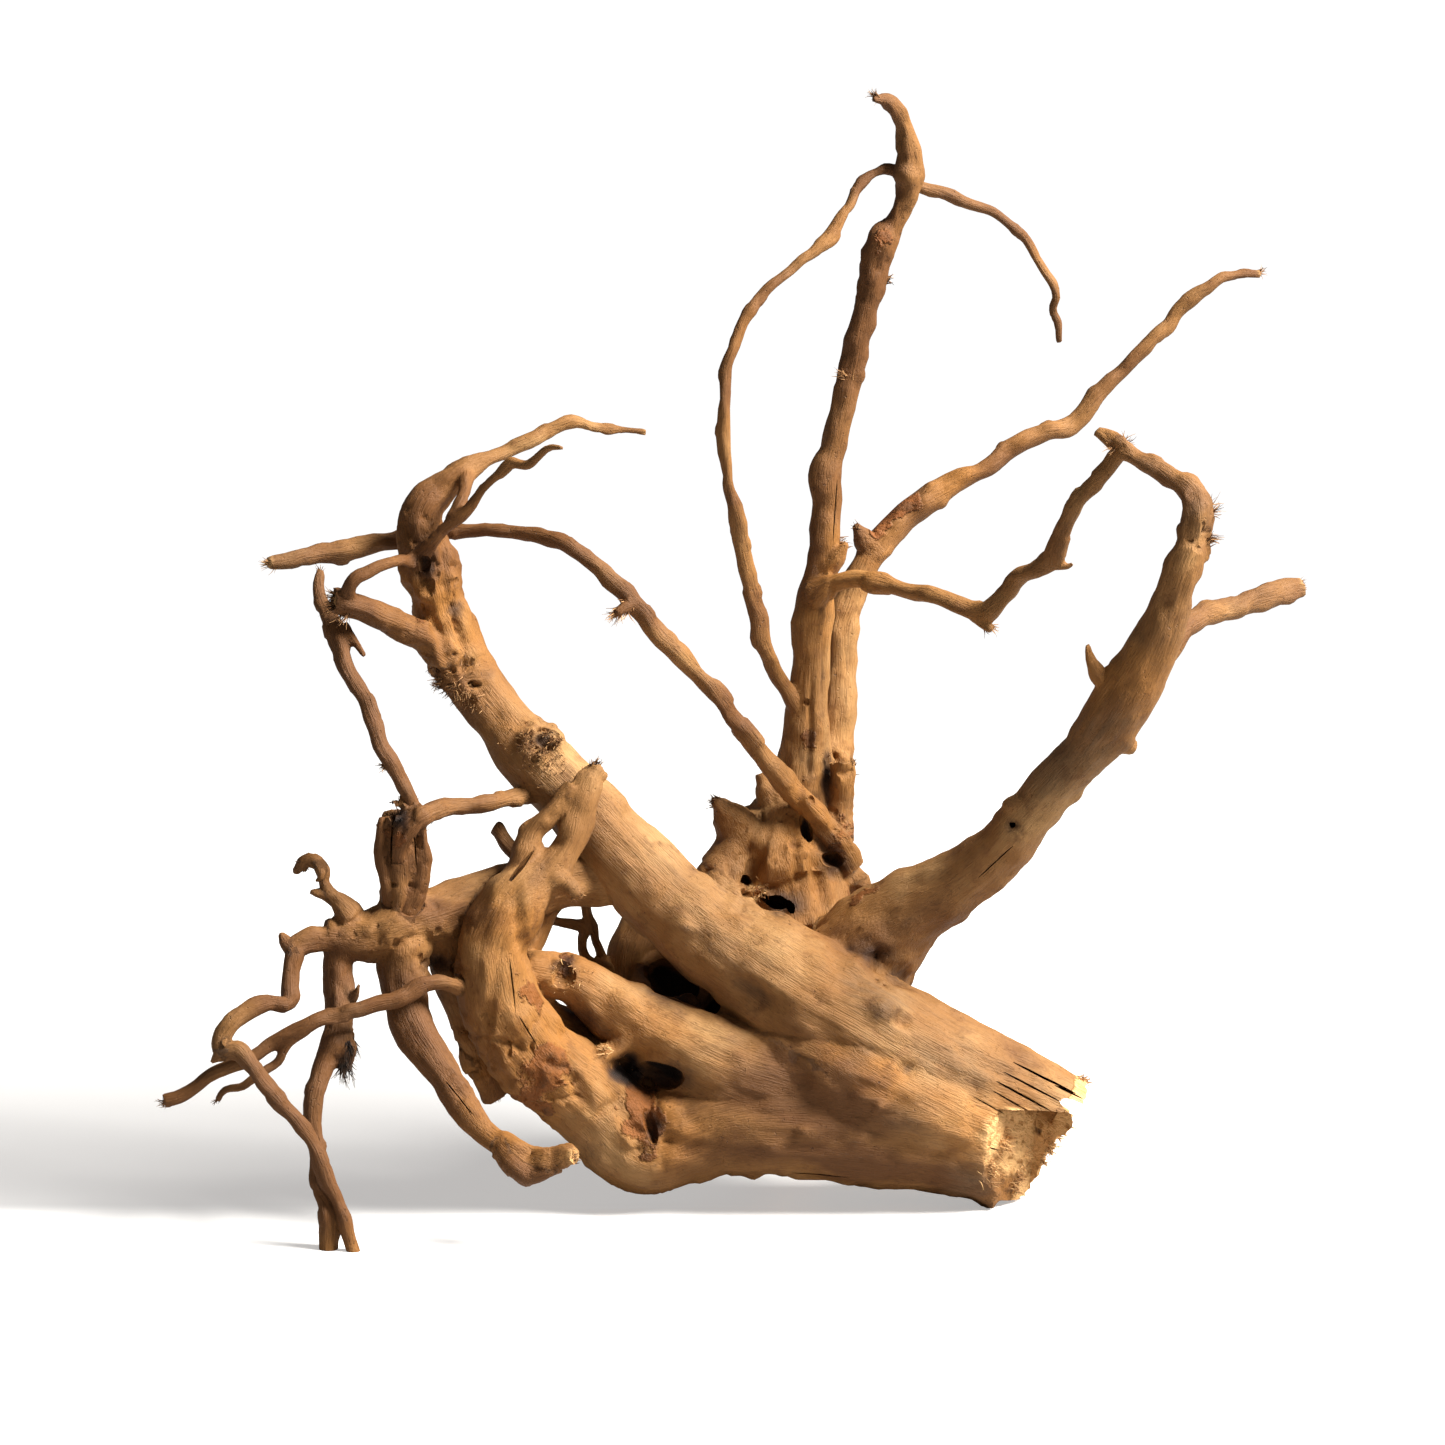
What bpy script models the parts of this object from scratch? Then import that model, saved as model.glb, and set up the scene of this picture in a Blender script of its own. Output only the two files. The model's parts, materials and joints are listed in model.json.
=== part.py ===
"""A piece of spiderwood: the barked and sandblasted root of an azalea, in one branching piece.

Metres, +Z up. The wood stands on the plane z = 0, on two thin root tips, the lower corner of
its broken end and one root behind. Its front faces -Y, and the origin is below its middle.
"""

import math

import bmesh
import bpy
from mathutils import Vector

MM = 0.001

# The roots are drawn as a front view, on a square sheet that leans back a little, square to
# the line of sight of an eye in front of the wood. Each point of a route is four lengths in
# millimetres: across from the sheet's left edge, down from its top edge, away behind the
# middle of the trunk, and the root's radius there.
SHEET_SIDE = 578 * MM
SHEET_LEAN = math.radians(9)
SHEET_HEIGHT = 197 * MM
EYE_DISTANCE = 1900 * MM
MIDDLE = Vector((-8.2 * MM, -26.4 * MM, 0))

VOXEL = 0.9 * MM
TARGET_TRIANGLES = 10500
CURVE_STEPS = 6
TUBE_ROUNDNESS = 5
FLOOR_BLOCK = 0.8

TRUNK = {
    "trunk_upper": [
        (446, 458, 2, 17.5), (425, 449, 2, 19.6), (404, 440, 2, 21.8), (384, 432, 2, 24),
        (362, 421, 2, 25), (340, 408, 3, 25), (320, 397, 3, 24.5), (302, 385, 4, 22.5),
        (286, 374, 5, 19.5), (267, 359, 7, 17), (255, 347, 8, 16.2), (242.5, 334.5, 9, 15.4),
        (226, 315.5, 10, 14.2), (212.5, 302, 12, 13.6), (201.5, 289, 14, 11.6), (192, 277, 16, 11.4),
        (184.5, 264.5, 18, 12),
    ],
    "trunk_lower": [
        (434, 472, -3, 14.5), (420, 467, -3, 17), (409, 463, -3, 19.5), (394, 459, -3, 22.5),
        (372, 452, -3, 25),
        (340, 447, -4, 26.5), (308, 445, -5, 25.5), (288, 447, -6, 23), (274, 452, -7, 21),
        (256, 456, -9, 20.5), (236, 439, -14, 18), (218, 425, -20, 17.5), (207, 413, -25, 17),
        (201, 403, -27, 16.4), (198, 392, -28, 15.2), (197, 379, -27, 13.7),
        (202, 367, -25, 14.5), (209, 358, -23, 13.4), (217, 351, -20, 9.6), (226.5, 340, -17, 6.2),
        (231, 326, -13, 7), (235, 314, -9, 6.5), (239, 308, -6, 4),
    ],
    "heel": [(388, 463, -8, 14), (396, 473, -8, 11.5), (401, 480, -8, 9)],
    "finger": [
        (208, 388, -16, 9), (219, 390, -12, 9.5), (230, 393, -9, 10.2), (242, 401, -7, 12),
        (256, 410, -5, 15), (272, 420, -4, 18), (292, 430, -3, 22), (318, 436, -2, 24),
    ],
    "under_root": [(206, 404, -14, 12), (224, 412, 2, 10), (240, 418, 8, 11), (260, 426, 6, 15)],
    "hook_rim": [
        (205, 354, -22, 7), (210.5, 341, -19, 4.6), (214.5, 332.5, -17, 2.8), (220.5, 325, -15, 4.2),
        (230, 317, -11, 6.2),
    ],
    "hook_nub": [(222, 352, -22, 8), (229, 356, -25, 4.5), (232.5, 358, -26, 3)],
    "thumb": [
        (177, 374, -16, 9), (180, 387, -14, 8), (184, 400, -13, 7.2), (188.5, 415, -12, 6.6),
        (194.5, 430, -11, 6), (198.5, 438, -10, 4.6),
    ],
    "crown_knot": [(190, 270, 14, 9), (180, 272, 9, 7), (176, 273, 7, 4)],
}

LEFT_ARM = {
    "arm": [
        (256, 354, 4, 15), (240, 352, 2, 13.6), (222, 353, -2, 11.8), (204, 357, -8, 12),
        (186, 362, -14, 11.3), (172, 367, -20, 11), (160, 370, -25, 12), (149, 374, -29, 10.6),
        (139, 375, -32, 8.5), (130, 374, -35, 6),
    ],
    "stub_up": [
        (140, 368, -32, 6.5), (133.6, 360.5, -31, 4.4), (129, 354.5, -30, 4), (127, 349, -29, 4.2),
        (125, 346.5, -28, 4), (121, 347, -27, 2.5),
    ],
    "leg_front": [
        (132, 375, -35, 5), (119, 378, -41, 4.5), (116, 384, -44, 3.8), (115, 394, -48, 3.6),
        (114, 401, -52, 3.8), (107, 401, -55, 3.2), (100, 404.5, -58, 3.2), (93, 409.5, -61, 3.5),
        (88.5, 416, -63, 4), (89, 420, -65, 3.7), (94.5, 420, -66, 3.8), (101, 427, -68, 3.5),
        (112, 441, -70, 3.6), (120, 450.5, -71, 3.7), (127, 463, -72, 3.4), (132.5, 475, -73, 3),
        (137, 487, -74.5, 2.9), (141.8, 502, -76, 2.8),
    ],
    "leg_middle": [
        (138, 376, -31, 8), (135, 386, -34, 5.8), (136.5, 398.5, -39, 6), (134.5, 415, -46, 5.6),
        (129, 430, -53, 4.1), (125.5, 440, -57, 3.6), (125, 448, -60, 3.4), (127, 464, -65, 3.5),
        (129, 476, -68, 3.5), (131.5, 488, -71, 3.8), (131.5, 502, -73, 3.8),
    ],
    "leg_back": [
        (162, 374, -24, 11.5), (161.5, 388, -29, 10), (162, 400, -34, 8.8), (167, 414.5, -42, 8.2),
        (178, 431, -50, 7.4), (184, 440, -54, 7.4), (193.5, 453, -60, 5.2), (205, 460, -66, 5.4),
        (217, 465, -71, 6), (226, 463, -75, 5.2), (230.5, 462.5, -77, 4),
    ],
    "thin_root": [
        (188, 394, -30, 4.5), (179, 394, -40, 3.4), (170, 394.5, -46, 3.2), (161, 400, -50, 3.2),
        (150.5, 402, -52, 3.2), (136.5, 405, -55, 3.2), (122, 411.5, -58, 3.2),
        (107.5, 419, -59, 3.2), (100.5, 423, -60, 3), (93.5, 425.5, -61, 2.8), (83, 431, -62, 2.6),
        (74, 438, -63, 2.6), (66, 441, -64, 2.5),
    ],
    "thin_twig": [
        (122, 413, -58, 2.2), (117.5, 417, -59, 2), (113.5, 421.5, -60, 1.9),
        (110.5, 426.5, -60, 1.7), (106, 429, -61, 1.7), (100.5, 432, -62, 1.7),
        (97, 435, -63, 1.7), (90.5, 436.5, -63, 1.5), (86.5, 441, -64, 1.3),
    ],
    "tuft_stub": [(137, 414, -47, 4.5), (138.5, 422, -49, 3.4), (137.5, 429, -51, 2)],
    "post": [
        (161, 367, -25, 10), (161, 354, -27, 8), (161, 344, -28, 7.4), (161, 336, -28, 8.2),
        (160.5, 330, -28, 8),
    ],
    "left_twig": [
        (164, 332, -30, 3.8), (163.5, 321, -31, 3.4), (160.5, 314, -31, 3.3), (155.5, 304, -30, 3.6),
        (149.5, 288, -25, 3.6), (144.5, 277, -20, 3.6), (139, 265.5, -13, 3.7), (135, 255, -5, 4.3),
        (130.5, 245, 3, 3.2), (127, 238, 8, 2.7), (126.5, 231, 12, 2.2), (127.5, 228.5, 13, 1.6),
    ],
    "left_spur": [(137, 251, -4, 2.4), (142, 256.5, -9, 1.9), (145, 260, -12, 1.4), (147, 262.5, -14, 1)],
    "left_thorn": [(162, 321, -31, 1.8), (157, 322, -33, 1.3), (152, 323.5, -36, 0.9)],
    "left_link": [
        (162, 333.5, -31, 3.8), (165.5, 327.5, -31, 3.6), (171, 323, -28, 3.4), (179.5, 322, -22, 3.2),
        (193.5, 321.5, -12, 3.3), (203, 320.5, -4, 3.3), (216, 317, 5, 4),
    ],
    "tail_stub": [(198.5, 331.5, 8, 2.8), (202, 336, 5, 2.8), (206.5, 341, 2, 3), (214, 348, -2, 4.5)],
}

CROWN = {
    "crown_limb": [
        (184.5, 264.5, 18, 12), (177.5, 248, 17, 11.4), (174.5, 236, 16, 11), (171, 222, 15, 11.6),
        (168, 209, 15, 9), (170, 202, 16, 7.2), (176, 196, 18, 6.2), (184.5, 189.5, 21, 5.4),
        (194, 183.5, 25, 3.9), (203, 180, 29, 3.2), (213, 175, 33, 3), (220, 171.5, 36, 2.9),
        (229, 168.5, 39, 2.6), (235, 169.5, 41, 2.1), (246, 171.5, 45, 1.8), (258, 173, 49, 1.2),
    ],
    "crown_stub": [
        (184, 265, 16, 10), (174, 258, 10, 7.5), (165, 253, 4, 6), (155, 248.5, -3, 5.6),
        (145, 244, -9, 5.6), (136, 241, -12, 5.6), (131.5, 240, -13, 4),
    ],
    "crown_twig": [
        (143, 242, -9, 3.4), (139.5, 236, -14, 2.6), (142, 231, -16, 2.4), (147, 228.5, -15, 2.3),
        (153, 226, -12, 2.1), (160, 224.5, -7, 2.1), (166, 223, 0, 2.6), (171, 218, -1, 2.8),
        (177.5, 211.5, -1, 2.6), (185, 205, -2, 2.6), (192.5, 198, -5, 2.2), (199, 191.5, -9, 2.2),
        (205, 185.5, -13, 2.2), (211.5, 185, -17, 1.8), (216, 182, -20, 1.8), (220.5, 179, -23, 1.5),
        (225, 180, -26, 1),
    ],
    "crown_tie": [(187, 189, 21, 3.5), (185.5, 195, 12, 2.8), (183, 202, 3, 2.6), (180.5, 207, -1, 2.6)],
    "long_root": [
        (340, 347, 46, 7), (335, 338, 43, 6), (328, 328, 40, 5.6), (320, 319, 37, 5.2),
        (313, 311, 34, 4.8), (303, 299, 30, 4), (293, 286, 26, 4), (282.5, 273, 23, 4.1),
        (272.5, 263, 20, 4.4), (264, 254, 18, 4.4), (255, 244.5, 17, 4), (248, 235, 17, 3.7),
        (240, 226.5, 18, 3.6), (231, 221, 20, 3.2), (219.5, 215, 24, 2.8), (212.5, 214, 27, 2.5),
        (200, 213, 31, 2.8), (185, 212.5, 34, 3.2), (174, 214, 34, 3.4), (163, 216, 31, 3.8),
        (149, 218.5, 25, 4), (138.5, 220.5, 20, 4.3), (130.5, 222, 16, 3.9), (116.5, 223, 9, 3.2),
        (107.5, 225, 5, 2.4),
    ],
    "long_root_spur": [(254, 243, 17, 3), (249.5, 244, 13, 2.2), (246, 246, 11, 1.6)],
}

BACK = {
    "burl": [
        (322, 380, 34, 20), (318, 357, 52, 24), (314, 341, 55, 24.5), (318, 326, 57, 18),
        (321, 312, 58, 12.5), (322.5, 296, 59, 9.6), (323, 281, 60, 8.2), (324.5, 260.5, 61, 8),
        (326, 240, 62, 7.8), (328, 229, 62, 6.2), (330, 215, 63, 6.1), (330.5, 199, 64, 6),
        (331, 189, 64, 6.5), (333.5, 179, 65, 5.6), (337, 163.5, 65, 4.8), (340.5, 148.5, 66, 4.8),
        (345, 127.5, 66, 5), (348, 115, 66, 5.4), (351, 102, 66, 6.2), (354, 95, 66, 6.4),
        (357.5, 89, 66, 4.6), (361, 80, 66, 4.5), (363.5, 70.5, 66, 5.7), (364, 61, 64, 4.6),
        (362, 51, 61, 4.2), (359, 45, 58, 4.1), (355, 41, 54, 2.8), (349, 39, 49, 1.2),
    ],
    "burl_left": [
        (306, 346, 50, 15), (297, 337, 46, 9.5), (292, 328, 42, 6.5), (288.5, 323, 39, 4),
        (285.5, 320.5, 37, 2),
    ],
    "burl_flank": [(300, 336, 46, 8), (294, 340, 42, 8), (289, 346, 36, 8), (288, 356, 28, 10)],
    "burl_shoulder": [(312, 322, 52, 9), (306, 314, 50, 5), (304.5, 309, 49, 3)],
    "burl_right": [(330, 352, 52, 14), (340, 352, 50, 8), (347, 353.5, 47, 4)],
    "broken_stub": [(334, 336, 52, 6.5), (336, 320, 50, 5), (337, 308, 49, 4.6), (337.5, 302, 49, 4.4)],
    "second_upright": [
        (329, 338, 64, 12.5), (331, 314, 70, 9.6), (333.5, 296, 74, 8), (335.5, 276, 77, 7),
        (336.5, 256, 79, 6.4), (339, 244, 81, 6), (344.5, 230, 84, 5.9), (351, 218.5, 87, 6),
        (360, 209, 90, 5.6), (369, 201.5, 93, 5.6), (378, 195, 96, 5), (395, 186, 101, 4.2),
        (402.5, 180.5, 104, 4.4), (414.5, 174.5, 108, 3.7), (425.5, 171, 112, 3.7),
        (438.5, 159, 116, 3.3), (447, 150.5, 119, 3.3), (457, 140, 121, 3.2), (467, 131, 123, 2.9),
        (471.5, 124, 124, 2.6), (477, 117.5, 125, 2.7), (487.5, 111.6, 127, 2.4),
        (495, 110.5, 129, 2.1), (504.5, 109, 131, 1.9),
    ],
    "elbow_spur": [(348, 219, 86, 4), (344, 213, 82, 2.2), (342.5, 210, 80, 1.4)],
    "arch_root": [
        (322, 286, 58, 4.4), (315, 278, 54, 3.6), (308, 264, 46, 3.4), (301, 239, 36, 3.2),
        (296, 215, 29, 3.2), (291, 189, 25, 2.9), (290, 174, 24, 2.8), (291, 152.5, 25, 2.6),
        (297, 130.5, 30, 2.5), (305, 118, 35, 2.4), (316.5, 107, 41, 2.4), (326, 100, 46, 2.5),
        (335.5, 91, 52, 2.5), (339, 83, 56, 2.4), (344, 73, 61, 2.3), (353, 67.5, 66, 2.2),
        (361, 69, 70, 2.4), (369, 75, 74, 2.4), (380.5, 79, 78, 2.4), (390, 82.5, 81, 2.1),
        (400.5, 86, 84, 2), (408, 92.5, 86, 1.9), (415, 103, 88, 1.8), (419, 110.5, 89, 1.8),
        (422, 118.5, 89, 1.6), (421, 123, 90, 1.5), (423, 129, 90, 1.4), (424, 136.5, 91, 1.2),
    ],
    "cross_branch": [
        (326, 238, 58, 6.5), (334, 233.5, 52, 4.6), (343, 231.5, 48, 4.1), (349.5, 233, 44, 3.9),
        (363, 236, 37, 3.6), (376, 238.5, 29, 3.6), (384, 242.5, 25, 3.8), (391, 244.5, 21, 4),
        (397, 242, 17, 3.8), (402, 237, 14, 3.7), (407.5, 230, 9, 3.8), (414.5, 227, 4, 4.1),
        (421, 223.5, -1, 4.6), (423.5, 215.5, -6, 3.8), (429.5, 203.5, -14, 3.3),
        (435.5, 196.5, -18, 3.3), (443, 188, -23, 3.2), (447, 181.5, -26, 3.4), (449.5, 178.5, -27, 3.2),
    ],
    "cross_spur": [(386, 243, 24, 3.4), (391, 248, 20, 2.1), (396, 251, 17, 1.5)],
    "cross_nub": [(421, 225, -1, 3.6), (426.5, 226.5, -3, 1.6), (429, 225.5, -4, 1)],
    "rear_arch": [
        (308, 360, 52, 16), (288, 360, 50, 12), (272, 360, 48, 10.5), (262, 365, 44, 10),
        (255, 374, 40, 9.2), (251, 386, 35, 9), (253, 400, 29, 9.5), (262, 414, 20, 12),
    ],
    "rear_leg": [
        (320, 356, 60, 20), (302, 376, 72, 19), (288, 396, 78, 18), (288, 416, 80, 16),
        (300, 434, 80, 13), (316, 450, 80, 9), (326, 462, 80, 7), (331, 472, 80, 6.5),
    ],
    "rear_stub": [(372, 444, 8, 14), (374, 440, 28, 10.5), (377, 437, 42, 9), (379, 435, 50, 8.5)],
    "back_bowl": [(257, 387, 36, 8), (266, 391.5, 32, 9.6), (275, 398, 28, 11), (285, 406, 18, 12)],
    "inner_root": [(256, 392, 26, 5), (262, 393, 18, 4.4), (269, 398, 12, 4.2), (277, 405, 6, 6)],
    "wiry_root": [
        (214, 364, 8, 2.6), (223, 368.5, 16, 2.1), (230, 370, 19, 2.2), (234, 371.5, 20, 2.5),
        (233, 376, 21, 1.8), (232.5, 380.5, 22, 1.9), (236, 385, 24, 2), (240.5, 387, 26, 2.4),
        (250, 392, 33, 3),
    ],
    "strut_root": [(232.5, 356, 14, 2.4), (235, 366, 20, 2.1), (238.5, 376, 25, 2), (243, 390, 32, 2.6)],
    "behind_hook": [(218, 360, 0, 7), (213.5, 372, 2, 6), (207, 384, -6, 7)],
}

HORN = {
    "horn": [
        (338, 390, 20, 24), (353, 373, 19, 20), (365, 363, 15, 15.6), (382, 353.5, 9, 13.2),
        (396, 343, 3, 12), (410.5, 327, -5, 10.7), (425, 311, -12, 10.2), (436, 299, -17, 10.5),
        (443.5, 289, -22, 11.8), (452.5, 275, -28, 12.2), (461, 260, -33, 10.6),
        (467.5, 244, -37, 9), (473, 228, -40, 7.6), (477.5, 215, -41, 6.8), (478.5, 207, -41, 6.4),
        (476, 196.5, -39, 5), (469, 190.5, -36, 3.6), (462, 185.5, -33, 3.6),
        (455.5, 182.5, -30, 3.6), (448, 178, -27, 3.4), (443, 175, -25, 2.8), (438, 172.5, -23, 1.9),
    ],
    "horn_bark": [(478, 196, -36, 2.4), (482, 204, -38, 3.4), (483.5, 214, -38, 3), (480, 224, -38, 3)],
    "horn_twig": [
        (464, 262, -32, 6.5), (472.5, 252.5, -24, 4.9), (478.5, 248.5, -17, 4.7),
        (485.5, 245.2, -9, 4.6), (496, 242, 1, 4.6), (505.5, 239, 9, 4.6), (514, 236.5, 16, 4.3),
        (521, 234.5, 21, 4.2),
    ],
    "horn_spur": [
        (444, 277, -26, 5), (438.5, 266, -29, 2.8), (436.5, 261, -30, 1.8), (435.5, 257, -31, 1.1),
    ],
    "horn_nub": [(446, 296, -22, 6), (453, 299, -23, 2)],
}

# Each hollow is an egg: its middle on the sheet, then its half lengths across, up and away.
HOLLOWS = {
    "eye": [(262, 430, -24), (11.5, 5.5, 17)],
    "slot": [(261, 451, -29), (2.2, 7.5, 7)],
    "burl_mouth": [(315, 361, 31), (7.5, 5, 13)],
    "burl_ear": [(333, 343.5, 33), (3.5, 3, 10)],
    "crown_eye": [(169.5, 225.5, 3), (3.2, 4.6, 6)],
    "post_mouth": [(160.5, 327, -28), (4, 6, 4)],
    "finger_scar": [(226, 388, -19), (3.6, 4.2, 3)],
    "end_notch": [(430, 442.5, 0), (9, 3.2, 40)],
    "bowl": [(269, 395, 20), (6.2, 4.8, 8)],
    "leaf": [(322.5, 332, 39), (2.6, 6.5, 5)],
    "long_root_knot": [(325, 319.6, 34), (1.8, 1.6, 3)],
}

# The thick end is torn off: first across the grain, then along a slanting front face.
# Each break is a block: a point on its face, the way that face looks, and the block's sides.
BREAKS = {
    "torn_across": [(423, 454, 0), (0.894, 0, -0.447), (70, 120, 150)],
    "torn_slanting": [(394, 466, -26), (0.74, -0.58, -0.34), (60, 70, 46)],
}


def place(across, down, away, radius=1):
    """The point of the wood that shows at this place on the sheet, and the radius there."""
    half = SHEET_SIDE / 2
    right = Vector((1, 0, 0))
    up = Vector((0, math.sin(SHEET_LEAN), math.cos(SHEET_LEAN)))
    ahead = Vector((0, math.cos(SHEET_LEAN), -math.sin(SHEET_LEAN)))
    eye = Vector((0, 0, SHEET_HEIGHT)) - EYE_DISTANCE * ahead
    sight = EYE_DISTANCE * ahead + (across * MM - half) * right + (half - down * MM) * up
    reach = (away * MM - eye.y) / sight.y
    return eye + reach * sight + MIDDLE, radius * MM * reach


def clear_scene():
    for old in list(bpy.data.objects):
        bpy.data.objects.remove(old)


def collection(name, shown=True):
    made = bpy.data.collections.new(name)
    bpy.context.scene.collection.children.link(made)
    made.hide_render = not shown
    return made


def wood_material():
    """Barked azalea wood: a dry, matt tan."""
    made = bpy.data.materials.new("spiderwood")
    made.use_nodes = True
    shader = made.node_tree.nodes["Principled BSDF"]
    shader.inputs["Base Color"].default_value = (0.50, 0.29, 0.14, 1)
    shader.inputs["Roughness"].default_value = 0.72
    shader.inputs["Metallic"].default_value = 0
    made.diffuse_color = (0.50, 0.29, 0.14, 1)
    return made


def root_tube(name, route):
    """One root as a curve through its route, as thick as the route says."""
    drawn = bpy.data.curves.new(name, "CURVE")
    drawn.dimensions = "3D"
    drawn.resolution_u = CURVE_STEPS
    drawn.bevel_depth = 1
    drawn.bevel_resolution = TUBE_ROUNDNESS
    drawn.use_fill_caps = True
    spline = drawn.splines.new("BEZIER")
    spline.radius_interpolation = "CARDINAL"
    spline.bezier_points.add(len(route) - 1)
    for knot, step in zip(spline.bezier_points, route):
        knot.co, knot.radius = place(*step)
        knot.handle_left_type = "AUTO"
        knot.handle_right_type = "AUTO"
    tube = bpy.data.objects.new(name, drawn)
    bpy.context.scene.collection.objects.link(tube)
    return tube


def gathered(tubes, name):
    """The tubes' meshes in one object, caps welded, and the curves removed."""
    bpy.context.view_layer.update()
    graph = bpy.context.evaluated_depsgraph_get()
    heap = bmesh.new()
    for tube in tubes:
        mesh = bpy.data.meshes.new_from_object(tube.evaluated_get(graph))
        heap.from_mesh(mesh)
        bpy.data.meshes.remove(mesh)
    bmesh.ops.remove_doubles(heap, verts=heap.verts, dist=0.001 * MM)
    mesh = bpy.data.meshes.new(name)
    heap.to_mesh(mesh)
    heap.free()
    for tube in tubes:
        bpy.data.objects.remove(tube)
    return bpy.data.objects.new(name, mesh)


def hollow_cutters(target):
    """The dark holes of the wood, each an egg that a Boolean takes away."""
    for name, (middle, halves) in HOLLOWS.items():
        bpy.ops.mesh.primitive_uv_sphere_add(segments=20, ring_count=12, radius=1)
        egg = bpy.context.object
        egg.name = "hollow_" + name
        egg.location, grown = place(*middle)
        egg.scale = [half * grown for half in (halves[0], halves[2], halves[1])]
        for home in list(egg.users_collection):
            home.objects.unlink(egg)
        target.objects.link(egg)
        egg.hide_render = True
        egg.display_type = "WIRE"


def break_cutters(target):
    """Blocks whose near faces leave the torn end of the trunk."""
    for name, (middle, facing, sides) in BREAKS.items():
        bpy.ops.mesh.primitive_cube_add(size=1)
        block = bpy.context.object
        block.name = name
        ahead = Vector(facing).normalized()
        point, _ = place(*middle)
        block.rotation_euler = ahead.to_track_quat("X", "Z").to_euler()
        block.location = point + ahead * sides[0] / 2 * MM
        block.scale = [side * MM for side in sides]
        for home in list(block.users_collection):
            home.objects.unlink(block)
        target.objects.link(block)
        block.hide_render = True
        block.display_type = "WIRE"


def floor_cutter(target):
    """A block below z = 0, which leaves small flat feet where the wood stands."""
    bpy.ops.mesh.primitive_cube_add(size=FLOOR_BLOCK, location=(0, 0, -FLOOR_BLOCK / 2))
    block = bpy.context.object
    block.name = "floor_block"
    for home in list(block.users_collection):
        home.objects.unlink(block)
    target.objects.link(block)
    block.hide_render = True
    block.display_type = "WIRE"
    return block


def triangle_count(piece):
    bpy.context.view_layer.update()
    evaluated = piece.evaluated_get(bpy.context.evaluated_depsgraph_get())
    mesh = evaluated.to_mesh()
    mesh.calc_loop_triangles()
    count = len(mesh.loop_triangles)
    evaluated.to_mesh_clear()
    return count


def build():
    clear_scene()
    shown = collection("spiderwood_piece")
    cutters = collection("cutters", shown=False)
    hollows = collection("hollows", shown=False)
    routes = {**TRUNK, **LEFT_ARM, **CROWN, **BACK, **HORN}
    wood = gathered([root_tube(name, route) for name, route in routes.items()], "spiderwood")
    shown.objects.link(wood)
    wood.data.materials.append(wood_material())

    fuse = wood.modifiers.new("fuse roots", "REMESH")
    fuse.mode = "VOXEL"
    fuse.voxel_size = VOXEL
    hollow_cutters(hollows)
    break_cutters(hollows)
    holes = wood.modifiers.new("hollows", "BOOLEAN")
    holes.operation = "DIFFERENCE"
    holes.operand_type = "COLLECTION"
    holes.collection = hollows
    holes.solver = "MANIFOLD"
    thin = wood.modifiers.new("fewer faces", "DECIMATE")
    thin.ratio = 1
    thin.ratio = TARGET_TRIANGLES / triangle_count(wood)
    feet = wood.modifiers.new("flat feet", "BOOLEAN")
    feet.operation = "DIFFERENCE"
    feet.object = floor_cutter(cutters)


build()
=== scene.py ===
# %% [markdown]
# # A piece of spiderwood
# Spiderwood is the root of an azalea. The bark is blasted off, which leaves hard, dry wood:
# a thick trunk torn off at one end, limbs that bend back on themselves, and wiry roots.
# This lesson rebuilds one piece from a photograph. It grew as one thing, so nearly all of it
# becomes one mesh, and the work is in three steps: lay the roots, weather them, colour them.

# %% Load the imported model
import json
import math
import random

import bpy
import numpy as np
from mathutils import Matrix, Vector
from mathutils.bvhtree import BVHTree

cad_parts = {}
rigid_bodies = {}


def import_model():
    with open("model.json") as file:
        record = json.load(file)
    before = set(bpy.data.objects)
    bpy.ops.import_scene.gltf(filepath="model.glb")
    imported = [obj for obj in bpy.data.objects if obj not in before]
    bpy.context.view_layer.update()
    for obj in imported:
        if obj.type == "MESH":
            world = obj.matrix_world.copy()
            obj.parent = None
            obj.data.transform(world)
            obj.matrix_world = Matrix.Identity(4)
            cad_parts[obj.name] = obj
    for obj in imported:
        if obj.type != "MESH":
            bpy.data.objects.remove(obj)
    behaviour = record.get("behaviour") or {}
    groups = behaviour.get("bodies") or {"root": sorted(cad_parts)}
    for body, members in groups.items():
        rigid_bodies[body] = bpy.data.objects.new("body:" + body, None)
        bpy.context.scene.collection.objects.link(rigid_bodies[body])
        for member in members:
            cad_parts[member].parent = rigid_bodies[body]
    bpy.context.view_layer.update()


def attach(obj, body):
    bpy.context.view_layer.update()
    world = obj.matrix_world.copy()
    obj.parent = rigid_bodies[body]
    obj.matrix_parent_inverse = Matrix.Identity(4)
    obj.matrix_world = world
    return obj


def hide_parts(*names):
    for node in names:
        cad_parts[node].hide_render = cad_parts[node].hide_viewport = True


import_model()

# %% [markdown]
# ## The drawing sheet
# The roots cross in front of each other, so no side view alone gives them. It helps to draw on
# a sheet that stands square to the photograph's line of sight: two lengths on the sheet say
# where a point shows, and a third says how far away it is. `place` turns the three into a
# point of the scene. Lengths are in millimetres, as on a workshop drawing.

# %% The sheet, and from the sheet to the scene
MM = 0.001
SHEET_SIDE = 578
SHEET_LEAN = math.radians(9)
EYE_DISTANCE = 1900
SHEET_MIDDLE = np.array([-8.2, -26.4, 197.0])

RIGHT = np.array([1, 0, 0])
UP = np.array([0, math.sin(SHEET_LEAN), math.cos(SHEET_LEAN)])
AHEAD = np.array([0, math.cos(SHEET_LEAN), -math.sin(SHEET_LEAN)])
EYE = SHEET_MIDDLE - EYE_DISTANCE * AHEAD


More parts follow.
